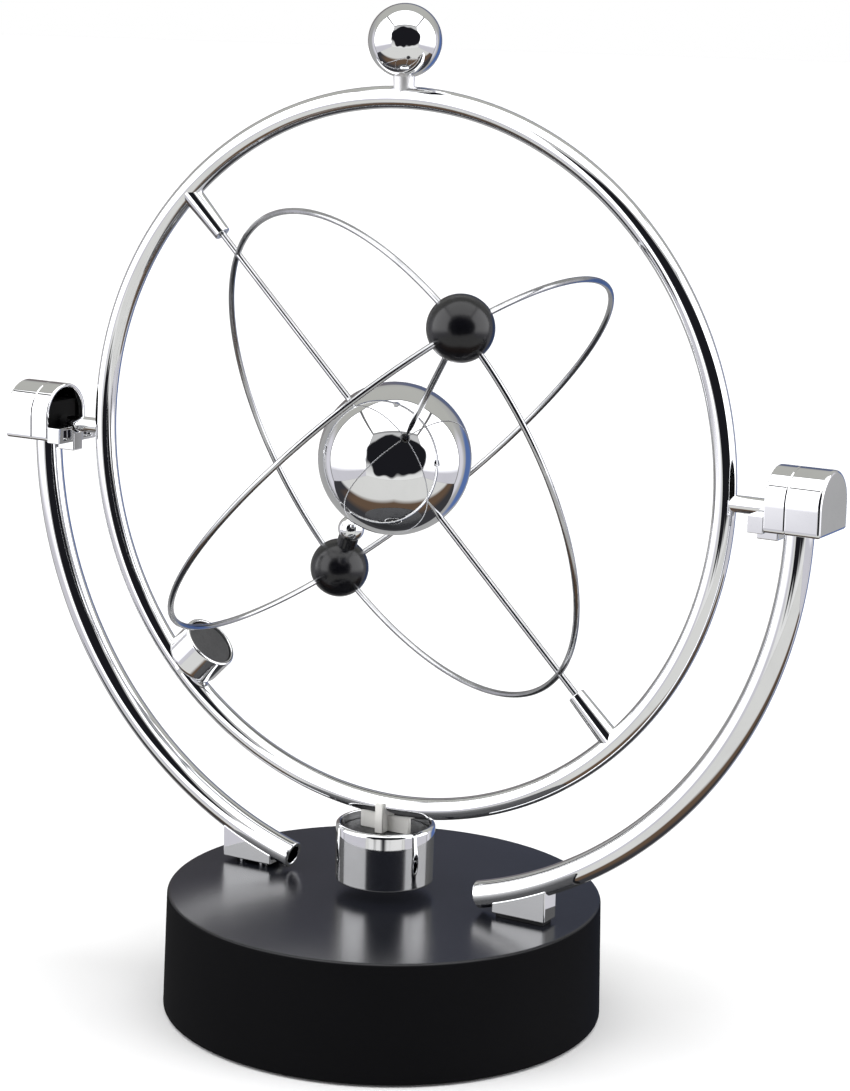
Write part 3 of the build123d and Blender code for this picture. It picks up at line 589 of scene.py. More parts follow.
def d_rows(side, stations, half_width, bottom, middle, corner, around=16):
    """D-shaped rings along X: each station (x, inset) is the outline drawn in by its inset, a flat
    bottom with small corners, straight sides, and a half round on top."""
    stations = np.array(stations, float)
    x, inset = stations[:, :1], stations[:, 1:]
    width, floor = half_width - inset, bottom + inset
    small = np.maximum(corner - inset, 0.05 * mm)
    quarter = np.linspace(0, np.pi / 2, 6)[None, :]
    half = np.linspace(0, np.pi, 4 * around)[None, :]
    step = np.linspace(0, 1, around)[None, 1:-1]
    low_right = (width - small + small * np.sin(quarter), floor + small - small * np.cos(quarter))
    low_left = (-low_right[0][:, ::-1], low_right[1][:, ::-1])
    rise = floor + small + (middle - floor - small) * step
    right = (width + 0 * step, rise)
    left = (-right[0], right[1][:, ::-1])
    top = (width * np.cos(half), middle + width * np.sin(half))
    flat = ((width - small) * (2 * step - 1), floor + 0 * step)
    y = np.hstack([low_right[0], right[0], top[0], left[0], low_left[0], flat[0]])
    z = np.hstack([low_right[1], right[1], top[1], left[1], low_left[1], flat[1]])
    return np.stack([side * x + 0 * y, y, z], -1)


cap_wall = 1.0 * mm
cap_edge = 0.7 * mm
cap_rim = 0.25 * mm
cap_corner = 0.8 * mm
joint_place = 5.1 * mm
joint_depth = 0.22 * mm
block_nylon = moulded(
    "bearing_nylon", (0.002, 0.002, 0.002), (0.004, 0.004, 0.004), 0.7, 2600.0, specular=0.1
)
for side, hand in ((-1, "left"), (1, "right")):
    cap_low, cap_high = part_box(f"{hand}_bearing_hood")
    mouth, back = sorted((abs(cap_low.x), abs(cap_high.x)))
    half_width = cap_high.y
    middle = cap_high.z - half_width
    turn = np.linspace(0, np.pi / 2, 7)
    inner_wall = [(back - cap_wall - 0.1 * mm, cap_wall + 0.1 * mm), (back - cap_wall - 0.5 * mm, cap_wall)]
    rim = [
        (mouth + cap_rim, cap_wall),
        (mouth + cap_rim * 0.3, cap_wall - cap_rim * 0.3),
        (mouth, cap_wall - cap_rim),
        (mouth, cap_rim),
        (mouth + cap_rim * 0.3, cap_rim * 0.3),
        (mouth + cap_rim, 0),
        (mouth + cap_rim * 1.5, 0),
    ]
    joint_x = mouth + joint_place
    joint = [
        (joint_x - joint_depth * 1.5, 0),
        (joint_x - joint_depth, 0),
        (joint_x - joint_depth * 0.3, joint_depth),
        (joint_x + joint_depth * 0.3, joint_depth),
        (joint_x + joint_depth, 0),
        (joint_x + joint_depth * 1.5, 0),
    ]
    far_edge = [
        (back - cap_edge * (1 - math.sin(t)), cap_edge * (1 - math.cos(t))) for t in turn
    ]
    outer = [(back - cap_edge * 1.1, 0), *far_edge, (back, cap_edge * 1.1)]
    hollow_end = [(back - cap_wall, cap_wall + 0.5 * mm)]
    stations = hollow_end + inner_wall + rim + joint + outer
    rows = d_rows(side, stations, half_width, cap_low.z, middle, cap_corner)
    inner_pole = (side * (back - cap_wall), 0, middle)
    outer_pole = (side * back, 0, middle)
    cap = lay_surface(f"{hand}_bearing_cap", rows, start=inner_pole, end=outer_pole)
    dress(cap, chrome)
    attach(cap, "stand")
    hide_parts(f"{hand}_bearing_hood")
    dress(f"{hand}_bearing_hood", chrome)
    dress(f"{hand}_bearing_block", block_nylon)

# ------------------------------------------------------------------ bearing tongues
# A cast plated tongue closes the lower part of each mouth and stands out under the pivot. It has a
# round groove for the pivot, two pockets in its end and a rib below, and a thin lip in the mouth.
pivot_height = frame["joints"][0]["pos_m"][2]
groove = 2.35 * mm


def pocketed_block(name, face_x, back_x, half_width, low, high, pockets, depth, edge):
    """A block along X with a round groove in its top and two pockets in its face. The face is split
    into flat faces round the pockets, and the back is one flat face."""
    dip = math.asin((pivot_height - high) / groove)
    angles = np.linspace(-dip, -np.pi + dip, 13)
    notch = [(groove * math.cos(t), pivot_height + groove * math.sin(t)) for t in angles]
    outline = [(-half_width, low), (half_width, low), (half_width, high), *notch, (-half_width, high)]
    inner, outer, floor, top = pockets
    holes = [
        [(inner, floor), (outer, floor), (outer, top), (inner, top)],
        [(-outer, floor), (-inner, floor), (-inner, top), (-outer, top)],
    ]
    count = len(outline)
    into = math.copysign(depth, back_x - face_x)
    points = [(face_x, *point) for point in outline] + [(back_x, *point) for point in outline]
    rims = []
    for hole in holes:
        rims.append(len(points))
        points += [(face_x, *point) for point in hole] + [(face_x + into, *point) for point in hole]
    faces = [(k, (k + 1) % count, (k + 1) % count + count, k + count) for k in range(count)]
    faces.append(tuple(range(2 * count - 1, count - 1, -1)))
    right, left = rims
    for rim in rims:
        faces += [(rim + k, rim + k + 4, rim + (k + 1) % 4 + 4, rim + (k + 1) % 4) for k in range(4)]
        faces.append(tuple(rim + 4 + k for k in range(4)))
    first, last = 3, count - 2
    faces += [
        (0, left, left + 1, right, right + 1, 1),
        (1, right + 1, right + 2, 2),
        (2, right + 2, right + 3, first),
        (first, right + 3, right, left + 1, left + 2, last, *range(last - 1, first, -1)),
        (last, left + 2, left + 3, count - 1),
        (count - 1, left + 3, left, 0),
    ]
    mesh = bpy.data.meshes.new(name)
    mesh.from_pydata(points, [], faces)
    return finish_block(name, mesh, edge)


lip_step = 0.12 * mm
for side, hand in ((-1, "left"), (1, "right")):
    tongue_low, tongue_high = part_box(f"{hand}_bearing_tongue")
    face_x, lip_x = sorted((abs(tongue_low.x), abs(tongue_high.x)))
    lip_thickness = 1.2 * mm
    mouth_x = lip_x - lip_thickness
    mouth_gap = 0.02 * mm
    inner_half = half_width - cap_wall
    lip_foot = cap_low.z + cap_wall
    lip_top = tongue_high.z - 1.8 * mm
    block_low = cap_low.z - 0.4 * mm
    lip = prism(
        f"{hand}_mouth_lip",
        rectangle(-inner_half, inner_half, lip_foot, lip_top),
        (side * mouth_x, 0, 0),
        side * lip_thickness,
        (0, 1, 0),
        (0, 0, 1),
        edge=0.12 * mm,
    )
    pocket_edge = 0.7 * mm
    block = pocketed_block(
        f"{hand}_tongue_block",
        side * (face_x + lip_step),
        side * (mouth_x - mouth_gap),
        tongue_high.y,
        block_low,
        tongue_high.z,
        pockets=(2.6 * mm, 6.0 * mm, block_low + pocket_edge, tongue_high.z - pocket_edge),
        depth=1.5 * mm,
        edge=0.18 * mm,
    )
    rib_half = 1.95 * mm
    rib_top = pivot_height - groove
    rib = prism(
        f"{hand}_tongue_rib",
        rectangle(-rib_half, rib_half, tongue_low.z, rib_top),
        (side * face_x, 0, 0),
        side * (lip_x - face_x),
        (0, 1, 0),
        (0, 0, 1),
        edge=0.3 * mm,
    )
    for piece in (lip, block, rib):
        dress(piece, chrome)
        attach(piece, "stand")
    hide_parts(f"{hand}_bearing_tongue")
    dress(f"{hand}_bearing_tongue", chrome)

# ------------------------------------------------------------------ ring
# The ring is one round steel bar bent to a full circle. It is butt welded, ground smooth and
# chrome plated, and swings on two pivots at its middle height.
ring_low, ring_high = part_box("outer_ring")
ring_bar = (ring_high.y - ring_low.y) / 2
ring_radius = (ring_high.x - ring_low.x) / 2 - ring_bar
ring_middle = np.array(frame["joints"][1]["pos_m"], float)
ring_height = ring_middle[2]
pivot_middle = np.array([0.0, 0.0, pivot_height])
ring_steps = 480
ring_angles = np.arange(ring_steps) * 2 * np.pi / ring_steps
path, outward = arc_points(
    ring_middle, np.array([1.0, 0.0, 0.0]), np.array([0.0, 0.0, 1.0]), ring_radius, ring_angles
)
sideways = np.broadcast_to([0.0, 1.0, 0.0], outward.shape)
ring = lay_surface(
    "chrome_ring", ring_rows(path, outward, sideways, np.full(ring_steps, ring_bar), 96), loop=True
)
dress(ring, chrome)
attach(ring, "ring")
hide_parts("outer_ring")
dress("outer_ring", chrome)

# ------------------------------------------------------------------ pivots
# A short thick stub is brazed to each side of the ring, and a needle turned on its end runs in the
# bearing block.
for side, hand in ((-1, "left"), (1, "right")):
    pivot_low, pivot_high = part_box(f"{hand}_pivot")
    stub_radius = pivot_high.y
    stub_past_mouth = 0.9 * mm
    stub_end = mouth_x + stub_past_mouth
    needle_end = max(abs(pivot_low.x), abs(pivot_high.x))
    needle_radius = 1.0 * mm
    outline = rounded_line(
        [(ring_radius, 0), (ring_radius, stub_radius), (stub_end, stub_radius), (stub_end, needle_radius),
         (needle_end, needle_radius), (needle_end, 0)],
        [0.2 * mm, 0.3 * mm, 0.1 * mm, 0.3 * mm],
    )
    pivot = turned(f"{hand}_pivot_stub", outline, pivot_middle, (side, 0, 0), around=64)
    dress(pivot, chrome)
    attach(pivot, "ring")
    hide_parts(f"{hand}_pivot")
    dress(f"{hand}_pivot", chrome)

# ------------------------------------------------------------------ top ball
# A solid plated ball sits on a short stub on top of the ring. The stub is turned, left satin under
# its plating, and a little narrower at its foot.


def ball_outline(radius, steps=64):
    """Half a circle from pole to pole, as (height, radius)."""
    angle = np.linspace(0, np.pi, steps)
    outline = np.stack([-radius * np.cos(angle), radius * np.sin(angle)], -1)
    outline[[0, -1], 1] = 0
    return outline


ball_low, ball_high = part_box("top_ball")
ball_radius = (ball_high.x - ball_low.x) / 2
top_ball = turned("crown_ball", ball_outline(ball_radius), (0, 0, ball_high.z - ball_radius), around=128)
stub_low, stub_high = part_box("top_ball_stub")
stub_radius = (stub_high.x - stub_low.x) / 2
stub_foot = ring_height + ring_radius
stub_sink = 1 * mm
stub_top = ball_low.z + stub_sink - stub_foot
stub_draft = 0.34 * mm
stub_line = [(0, 0), (0, stub_radius - stub_draft), (stub_top, stub_radius), (stub_top, 0)]
stub = turned("crown_stub", rounded_line(stub_line, [0.1 * mm, 0.1 * mm]), (0, 0, stub_foot), around=64)
satin_chrome = polished("satin_chrome", (0.92, 0.92, 0.93), (0.86, 0.86, 0.87), 0.5, 0.1, 90.0)
for piece, node, plating in ((top_ball, "top_ball", chrome), (stub, "top_ball_stub", satin_chrome)):
    dress(piece, plating)
    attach(piece, "ring")
    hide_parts(node)
    dress(node, plating)

# ------------------------------------------------------------------ magnet cup
# A drawn steel cup, chrome plated, with a soft rolled rim. A dark sintered magnet lies in it, and a
# folded cross of plate ties it to the ring.
cup_low, cup_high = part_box("magnet_cup")
cup_radius = cup_high.x
cup_wall = 1.2 * mm
cup_rim = 1.1 * mm
cup_height = cup_high.z - cup_low.z
cup_taper = 0.12 * mm
cup_outline = rounded_line(
    [
        (0, 0),
        (0, cup_radius - cup_taper),
        (cup_height, cup_radius),
        (cup_height, cup_radius - cup_wall),
        (cup_wall, cup_radius - cup_wall - cup_taper * 0.8),
        (cup_wall, 0),
    ],
    [cup_rim / 2, cup_rim * 0.85, 0.25 * mm, 0.3 * mm],
    steps=10,
)
cup = turned("drawn_cup", cup_outline, (0, 0, cup_low.z), around=160)
magnet_low, magnet_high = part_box("pendulum_magnet")
magnet_height = magnet_high.z - magnet_low.z
magnet_outline = bar_outline(0, magnet_height, magnet_high.x, 0.3 * mm, 0.4 * mm)
magnet = turned("cup_magnet", magnet_outline, (0, 0, magnet_low.z), around=128)


def sintered(name, dark, light):
    """Sintered magnet: a dark grey granular face with small paler specks and chips."""
    material, nodes, links, shader = new_material(name, Metallic=0.35)
    place = object_place(nodes)
    specks = texture(material.node_tree, "Voronoi", place, Scale=1800.0)
    cloud = texture(material.node_tree, "Noise", place, Scale=260.0, Detail=4.0)
    links.new(mix_colours(nodes, links, cloud.outputs["Fac"], dark, light), shader.inputs["Base Color"])
    links.new(map_mask(nodes, links, specks.outputs["Distance"], 0.38, 0.6), shader.inputs["Roughness"])
    add_bump(nodes, links, shader, specks.outputs["Distance"], 0.3, 0.03 * mm)
    return material


magnet_grey = sintered("sintered_magnet", (0.010, 0.010, 0.012), (0.028, 0.028, 0.03))
dress(cup, chrome)
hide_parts("magnet_cup")
dress(magnet, magnet_grey)
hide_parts("pendulum_magnet")
dress("magnet_cup", chrome)
dress("pendulum_magnet", magnet_grey)

# The bracket is pressed from plate and plated in satin nickel, warmer and duller than the chrome.
satin_nickel = polished(
    "satin_nickel", (0.97, 0.96, 0.92), (0.92, 0.91, 0.87), 0.4, 0.08, 90.0, metallic=0.15
)
plate_half_thickness = 0.65 * mm
plate_gap = 0.55 * mm
plate_top = ring_height - ring_radius - plate_gap
bracket_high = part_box("magnet_bracket")[1]
plate_half = bracket_high.x
wing_half = 3.5 * mm
lug_half = 1.05 * mm
lug_inner = ring_bar + 0.1 * mm
lug_outer = bracket_high.y
lug_low, lug_top = magnet_high.z, bracket_high.z
long_plate = prism(
    "bracket_long_plate",
    rectangle(-plate_half, plate_half, lug_low, plate_top),
    (0, plate_half_thickness, 0),
    2 * plate_half_thickness,
    (1, 0, 0),
    (0, 0, 1),
    edge=0.15 * mm,
)
cross_plate = prism(
    "bracket_cross_plate",
    rectangle(-wing_half, wing_half, lug_low, plate_top),
    (-lug_half, 0, 0),
    2 * lug_half,
    (0, 1, 0),
    (0, 0, 1),
    edge=0.15 * mm,
)
lugs = [
    prism(
        f"bracket_lug_{place}",
        rectangle(way * lug_inner, way * lug_outer, lug_low, lug_top),
        (-lug_half, 0, 0),
        2 * lug_half,
        (0, 1, 0),
        (0, 0, 1),
        edge=0.2 * mm,
    )
    for way, place in ((-1, "front"), (1, "back"))
]
for piece in (cup, magnet, long_plate, cross_plate, *lugs):
    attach(piece, "ring")
for piece in (long_plate, cross_plate, *lugs):
    dress(piece, satin_nickel)
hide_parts("magnet_bracket")
dress("magnet_bracket", satin_nickel)

# ------------------------------------------------------------------ side magnet cup
# A smaller plated cup points from the ring at the turning balls, and its magnet's dark face lies
# just inside the rim.
slant = math.sqrt(0.5)
side_dir = np.array([-slant, 0.0, -slant])
side_face = 76.0 * mm
side_radius = 7.45 * mm
side_length = 8.6 * mm
side_wall = 0.9 * mm
side_boss = 3.0 * mm
side_back = side_face + side_length
side_outline = rounded_line(
    [
        (side_back - side_wall, 0),
        (side_back - side_wall, side_radius - side_wall),
        (side_face, side_radius - side_wall),
        (side_face, side_radius),
        (side_back, side_radius),
        (side_back, side_boss),
        (ring_radius, side_boss),
        (ring_radius, 0),
    ],
    [0.1 * mm, 0.25 * mm, 0.55 * mm, 1.5 * mm, 0.3 * mm, 0.1 * mm],
)
side_cup = turned("side_cup", side_outline, ring_middle, side_dir, around=128)
sink = 0.6 * mm
disc_radius = side_radius - side_wall - 0.1 * mm
disc_outline = bar_outline(side_face + sink, side_back - side_wall, disc_radius, 0.3 * mm, 0.1 * mm)
side_disc = turned("side_magnet_disc", disc_outline, ring_middle, side_dir, around=96)
disc_grey = sintered("side_magnet_grey", (0.045, 0.045, 0.047), (0.085, 0.085, 0.088))
for piece, node, material, slot in (
    (side_cup, "side_magnet_cup", chrome, "chrome"),
    (side_disc, "side_magnet", disc_grey, "magnet_dark"),
):
    dress(piece, material)
    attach(piece, "ring")
    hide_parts(node)
    dress(node, material)

# ------------------------------------------------------------------ axle sleeves
# Two turned sleeves, slightly tapered and chrome plated, hold the axle's ends. They are brazed to
# the ring's inner side, across from each other on a slant.
axle_dir = np.array(frame["joints"][1]["axis"], float)
axle_dir = axle_dir / np.linalg.norm(axle_dir)
sleeve_face = 73.4 * mm
sleeve_small = 2.1 * mm
sleeve_large = 2.65 * mm
sleeve_bore = 0.95 * mm
bore_end = sleeve_face + 6 * mm
for way, place in ((-1, "upper"), (1, "lower")):
    outline = rounded_line(
        [
            (bore_end, 0),
            (bore_end, sleeve_bore),
            (sleeve_face, sleeve_bore),
            (sleeve_face, sleeve_small),
            (ring_radius, sleeve_large),
            (ring_radius, 0),
        ],
        [0.1 * mm, 0.1 * mm, 0.25 * mm, 0.1 * mm],
    )
    sleeve = turned(f"{place}_sleeve", outline, ring_middle, way * axle_dir, around=64)
    dress(sleeve, chrome)
    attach(sleeve, "ring")
    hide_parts(f"{place}_axle_sleeve")
    dress(f"{place}_axle_sleeve", chrome)

# ------------------------------------------------------------------ axle
# The axle is a straight length of polished spring steel wire, darker than the plating. Its ends
# are rounded and turn freely in the sleeves.
wire_steel = polished("polished_wire", (0.56, 0.565, 0.58), (0.42, 0.425, 0.44), 0.10, 0.10, 120.0)
axle_radius = 0.8 * mm
axle_half = 82.0 * mm
axle_outline = bar_outline(-axle_half, axle_half, axle_radius, 0.2 * mm, 0.2 * mm)
axle = turned("axle_wire", axle_outline, ring_middle, axle_dir, around=32)
dress(axle, wire_steel)
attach(axle, "rotor")
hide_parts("axle")
dress("axle", wire_steel)

# ------------------------------------------------------------------ centre sphere
# The sphere is a hollow steel ball, chrome plated to a mirror. It is pressed on the middle of the
# axle and turns with it.
sphere_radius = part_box("center_sphere")[1].z - ring_height
sphere = turned("hollow_sphere", ball_outline(sphere_radius, 128), ring_middle, axle_dir, around=256)
dress(sphere, chrome)
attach(sphere, "rotor")
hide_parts("center_sphere")
dress("center_sphere", chrome)

# ------------------------------------------------------------------ hoops
# Two hoops of bent wire cross at the balls: the orbit hoop lies square to the axle, the polar hoop
# runs through it. Each is two half rounds whose ends are held in the balls.
phase = math.radians(35)
ball_dir = -side_dir * math.cos(phase) - np.array([0.0, math.sin(phase), 0.0])
square_dir = np.cross(ball_dir, axle_dir)
hoop_radius = 66.8 * mm
wire_radius = 0.748 * mm
wire_steps = 180
wire_stop = 3.6 * mm
wire_angle = wire_stop / hoop_radius
half_turn = np.linspace(wire_angle, np.pi - wire_angle, wire_steps)
for name, node, bulge in (
    ("orbit_wire_front", "orbit_hoop_front", -square_dir),
    ("orbit_wire_back", "orbit_hoop_back", square_dir),
    ("polar_wire_lower", "polar_hoop_lower", axle_dir),
    ("polar_wire_upper", "polar_hoop_upper", -axle_dir),
):
    path, outward = arc_points(ring_middle, ball_dir, bulge, hoop_radius, half_turn)
    sideways = np.broadcast_to(np.cross(ball_dir, bulge), outward.shape)
    rows = ring_rows(path, outward, sideways, np.full(wire_steps, wire_radius), 24)
    wire = lay_surface(name, rows, start=path[0], end=path[-1])
    dress(wire, wire_steel)
    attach(wire, "rotor")
    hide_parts(node)
    dress(node, wire_steel)

# ------------------------------------------------------------------ rod to the front ball
# One straight piece of the same steel wire runs from the sphere into the front ball. It is pushed
# into a hole in each.
rod_radius = 0.75 * mm
rod_sink = 2.5 * mm
rod_start = sphere_radius - rod_sink
rod_end = hoop_radius - wire_stop
rod_outline = bar_outline(rod_start, rod_end, rod_radius, 0.1 * mm, 0.1 * mm)
rod = turned("front_wire_rod", rod_outline, ring_middle, ball_dir, around=24)
dress(rod, wire_steel)
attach(rod, "rotor")
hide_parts("front_rod")
dress("front_rod", wire_steel)

# ------------------------------------------------------------------ black balls
# Each ball is moulded in two halves that close on the wire ends and a small magnet. Satin black,
# with a hairline where the halves meet.
black_radius = 7.8 * mm
seam_depth = 0.05 * mm
ball_black = moulded(
    "ball_black", (0.002, 0.002, 0.003), (0.004, 0.004, 0.006), 0.22, 3000.0, 0.002 * mm, specular=0.5
)
magnet_small = sintered("ball_magnet_grey", (0.2, 0.2, 0.2), (0.32, 0.32, 0.33))
for way, place in ((1, "front"), (-1, "rear")):
    outline = ball_outline(black_radius, 97)
    seam = np.exp(-((outline[:, 0] / (0.12 * mm)) ** 2)) * seam_depth
    outline[:, 1] = np.maximum(outline[:, 1] - seam, 0)
    ball_middle = ring_middle + way * ball_dir * hoop_radius
    black = turned(f"{place}_black_ball", outline, ball_middle, way * ball_dir, around=128)
    dress(black, ball_black)
    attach(black, "rotor")
    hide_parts(f"{place}_ball_inner_half", f"{place}_ball_outer_half")
    for half in ("inner", "outer"):
        dress(f"{place}_ball_{half}_half", ball_black)
    dress(f"{place}_ball_magnet", magnet_small)

# ------------------------------------------------------------------ moon ball
# A little plated ball stands on the rear ball, to one side, on a short black collar that is moulded
# with it.
tilt, turn = math.radians(33), math.radians(135)
aside = axle_dir * math.cos(turn) + square_dir * math.sin(turn)
moon_dir = ball_dir * math.cos(tilt) + aside * math.sin(tilt)
moon_radius = 3.5 * mm
moon_distance = 12.55 * mm
collar_radius = 2.7 * mm
neck = math.asin(collar_radius / moon_radius)
collar_top = moon_distance - moon_radius * math.cos(neck)
collar_sink = 1.5 * mm
collar_foot = black_radius - collar_sink
collar_crown = 0.5 * mm
collar_outline = rounded_line(
    [
        (collar_foot, 0),
        (collar_foot, collar_radius),
        (collar_top, collar_radius),
        (collar_top + collar_crown, 0),
    ],
    [0.1 * mm, 0.1 * mm],
)
moon_outline = ball_outline(moon_radius, 65)
moon_outline[:, 0] += moon_distance
moon_foot = ring_middle - ball_dir * hoop_radius
moon = turned("moon", moon_outline, moon_foot, moon_dir, around=96)
collar = turned("moon_collar", collar_outline, moon_foot, moon_dir, around=96)
for piece, material, look in ((moon, chrome, "chrome"), (collar, ball_black, "ball_black")):
    dress(piece, material)
    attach(piece, "rotor")
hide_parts("moon_ball")
dress("moon_ball", chrome)

# ------------------------------------------------------------------ floor
# The object stands on a wide pale floor, plain and matt, that runs out of sight. Bright metal
# doesn't mirror it, because the tent below has its own.
floor_size = 30.0
mesh = bpy.data.meshes.new("floor")
corner = floor_size / 2
corners = [(-corner, -corner, 0), (corner, -corner, 0), (corner, corner, 0), (-corner, corner, 0)]
mesh.from_pydata(corners, [], [(0, 1, 2, 3)])
floor = bpy.data.objects.new("floor", mesh)
bpy.context.scene.collection.objects.link(floor)
floor_paint, nodes, links, shader = new_material("floor_paint", Roughness=0.9, Emission_Strength=0.02)
shader.inputs["Base Color"].default_value = (0.93, 0.93, 0.93, 1)
shader.inputs["Emission Color"].default_value = (1, 1, 1, 1)
mesh.materials.append(floor_paint)
floor.visible_glossy = False

# ------------------------------------------------------------------ studio
# The light comes from a pale cloth tent round the object: lit sides and roof, a grey back with a
# dark gap and a blue cloth, a front that opens on a dark room, and brown wood below.
view_turn = math.radians(30.344)
world = bpy.data.worlds.new("studio")
bpy.context.scene.world = world
world.use_nodes = True
nodes, links = world.node_tree.nodes, world.node_tree.links
background = nodes["Background"]
where = nodes.new("ShaderNodeTexCoord")
face = nodes.new("ShaderNodeMapping")
face.inputs["Rotation"].default_value = (0, 0, -view_turn)
links.new(where.outputs["Generated"], face.inputs["Vector"])
parts = nodes.new("ShaderNodeSeparateXYZ")
links.new(face.outputs["Vector"], parts.inputs["Vector"])


def calculate(operation, first, second=None):
    """One arithmetic node; a socket or a number on each side."""
    node = nodes.new("ShaderNodeMath")
    node.operation = operation
    for slot_number, value in enumerate((first, second)):
        if isinstance(value, (int, float)):
            node.inputs[slot_number].default_value = value
        elif value is not None:
            links.new(value, node.inputs[slot_number])
    return node.outputs[0]


def lay_colour(below, mask, tint):
    """One tint laid over the colours below, where its mask is 1."""
    layer = nodes.new("ShaderNodeMix")
    layer.data_type = "RGBA"
    layer.inputs[7].default_value = (*tint, 1)
    links.new(mask, layer.inputs[0])
    links.new(below, layer.inputs[6])
    return layer.outputs[2]


# The tent is a box round the object, measured in the distance from its middle to its side walls. The
# wall that a direction meets is the one whose share is largest, and a seam shows where the two
# largest shares are nearly equal.
front_distance = 1.07
back_distance = 0.4
roof_height = 1.26
floor_depth = 0.47
forward = calculate("MULTIPLY", parts.outputs["Y"], -1.0)
aside = calculate("ABSOLUTE", parts.outputs["X"])
shares = {
    "side": aside,
    "front": calculate("DIVIDE", forward, front_distance),
    "back": calculate("DIVIDE", parts.outputs["Y"], back_distance),
    "roof": calculate("DIVIDE", parts.outputs["Z"], roof_height),
    "floor": calculate("DIVIDE", parts.outputs["Z"], -floor_depth),
}
largest = shares["side"]
for wall in ("front", "back", "roof", "floor"):
    largest = calculate("MAXIMUM", largest, shares[wall])
ratios = {wall: calculate("DIVIDE", share, largest) for wall, share in shares.items()}
walls = {wall: map_mask(nodes, links, ratio, 0, 1, 0.98, 1.0) for wall, ratio in ratios.items()}
level = calculate("DIVIDE", parts.outputs["Z"], largest)
breadth = calculate("DIVIDE", aside, largest)
leaning = calculate("DIVIDE", parts.outputs["X"], largest)
depth = calculate("DIVIDE", forward, largest)


def spot(across_value, up_value, middle, reach, soft):
    """A soft-edged squarish oval mask about a middle (across, up), as wide and tall as its reach."""
    squareness = 2.4
    sides = []
    for value, centre, half_size in zip((across_value, up_value), middle, reach):
        offset = calculate("DIVIDE", calculate("SUBTRACT", value, centre), half_size)
        sides.append(calculate("POWER", calculate("ABSOLUTE", offset), squareness))
    return map_mask(nodes, links, calculate("ADD", *sides), 1, 0, 1 - soft, 1 + soft)


start = nodes.new("ShaderNodeRGB")
start.outputs[0].default_value = (0.30, 0.30, 0.31, 1)
shade = start.outputs[0]
# Lit side walls, duller near the table.
shade = lay_colour(shade, walls["side"], (2.5, 2.5, 2.54))
low_side = calculate("MULTIPLY", walls["side"], map_mask(nodes, links, level, 1, 0, -0.26, -0.06))
shade = lay_colour(shade, low_side, (0.66, 0.65, 0.70))
shade = lay_colour(shade, walls["roof"], (2.0, 2.0, 2.0))
# The back: grey, paler to both sides and above, with a dark gap in its middle and a blue cloth to
# the right of it.
shade = lay_colour(shade, walls["back"], (0.40, 0.40, 0.40))
wide_back = calculate("MULTIPLY", walls["back"], map_mask(nodes, links, breadth, 0, 1, 0.48, 0.66))
shade = lay_colour(shade, wide_back, (0.74, 0.73, 0.79))
high_back = calculate("MULTIPLY", walls["back"], map_mask(nodes, links, level, 0, 1, 0.12, 0.3))
shade = lay_colour(shade, high_back, (0.50, 0.50, 0.47))
blue = calculate("MULTIPLY", walls["back"], spot(leaning, level, (0.29, -0.12), (0.15, 0.2), 0.5))
shade = lay_colour(shade, blue, (0.10, 0.17, 0.40))
gap = calculate("MULTIPLY", walls["back"], spot(leaning, level, (0.0, 0.06), (0.2, 0.13), 0.45))
shade = lay_colour(shade, gap, (0.20, 0.18, 0.18))
right_gap = calculate("MULTIPLY", gap, map_mask(nodes, links, leaning, 0, 1, -0.06, 0.05))
shade = lay_colour(shade, right_gap, (0.115, 0.14, 0.23))
# The open front: pale cloth round a dark room.
shade = lay_colour(shade, walls["front"], (0.60, 0.60, 0.60))
low_front = calculate("MULTIPLY", walls["front"], map_mask(nodes, links, level, 1, 0, -0.4, -0.1))
shade = lay_colour(shade, low_front, (0.86, 0.86, 0.85))
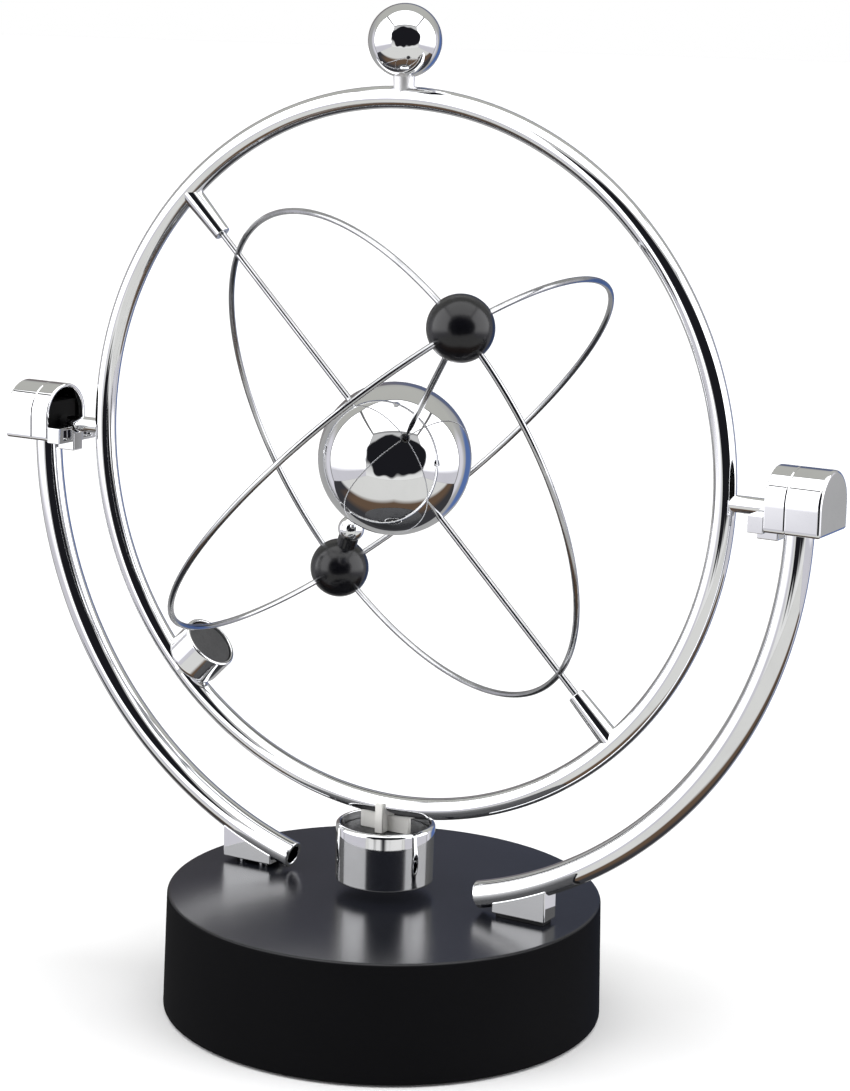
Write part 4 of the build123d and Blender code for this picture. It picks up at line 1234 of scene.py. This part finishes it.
# The floor: pale cloth in front, then brown wood, darker towards the back.
shade = lay_colour(shade, walls["floor"], (0.045, 0.045, 0.050))
near = calculate("ADD", depth, calculate("MULTIPLY", breadth, 0.37))
wood = calculate("MULTIPLY", walls["floor"], map_mask(nodes, links, near, 0, 1, 0.0, 0.14))
wood = calculate("MULTIPLY", wood, map_mask(nodes, links, leaning, 0, 1, -0.75, -0.45))
shade = lay_colour(shade, wood, (0.135, 0.088, 0.058))
cloth = calculate("MULTIPLY", walls["floor"], map_mask(nodes, links, near, 0, 1, 0.27, 0.36))
shade = lay_colour(shade, cloth, (0.76, 0.76, 0.74))
for first, second, tint in (
    ("side", "roof", 0.13), ("side", "back", 0.24), ("roof", "back", 0.2), ("roof", "front", 0.3)
):
    both = calculate("MINIMUM", ratios[first], ratios[second])
    shade = lay_colour(shade, map_mask(nodes, links, both, 0, 1, 0.93, 0.97), (tint, tint, tint))
ahead = calculate("MAXIMUM", shares["front"], 0.02)
swell = texture(world.node_tree, "Noise", face.outputs["Vector"], Scale=3.0, Detail=0.0)
ragged = map_mask(nodes, links, swell.outputs["Fac"], -0.1, 0.1, 0.3, 0.7)
room_across = calculate("ADD", calculate("DIVIDE", parts.outputs["X"], ahead), ragged)
room_up = calculate("ADD", calculate("DIVIDE", parts.outputs["Z"], ahead), ragged)
room = spot(room_across, room_up, (0.06, 0.33), (1.2, 0.66), 0.14)
shade = lay_colour(shade, room, (0.012, 0.012, 0.015))
seen = nodes.new("ShaderNodeLightPath")
plain = nodes.new("ShaderNodeMix")
plain.data_type = "RGBA"
plain.inputs[7].default_value = (1, 1, 1, 1)
links.new(seen.outputs["Is Camera Ray"], plain.inputs[0])
links.new(shade, plain.inputs[6])
links.new(plain.outputs[2], background.inputs["Color"])
background.inputs["Strength"].default_value = 1.0
bpy.context.scene.view_settings.view_transform = "Standard"

# ------------------------------------------------------------------ camera
# A longish lens stands a little above the pivots, to the right of the ring's face, and looks down
# at it slightly.
view_rise = math.radians(9.461)
view_roll = math.radians(-1.424)
view_distance = 659.875 * mm
view_target = Vector((0, 0, 140.281 * mm))
back = Vector(
    (
        math.sin(view_turn) * math.cos(view_rise),
        -math.cos(view_turn) * math.cos(view_rise),
        math.sin(view_rise),
    )
)
right = Vector((0, 0, 1)).cross(back).normalized()
up = back.cross(right)
axes = Matrix((right, up, back)).transposed() @ Matrix.Rotation(-view_roll, 3, "Z")
camera = bpy.data.objects.new("camera", bpy.data.cameras.new("camera"))
bpy.context.scene.collection.objects.link(camera)
camera.matrix_world = Matrix.Translation(view_target + back * view_distance) @ axes.to_4x4()
camera.data.sensor_width = 36.0
camera.data.lens = 88.6
camera.data.shift_x = 0.0277
camera.data.shift_y = -0.0798
bpy.context.scene.camera = camera
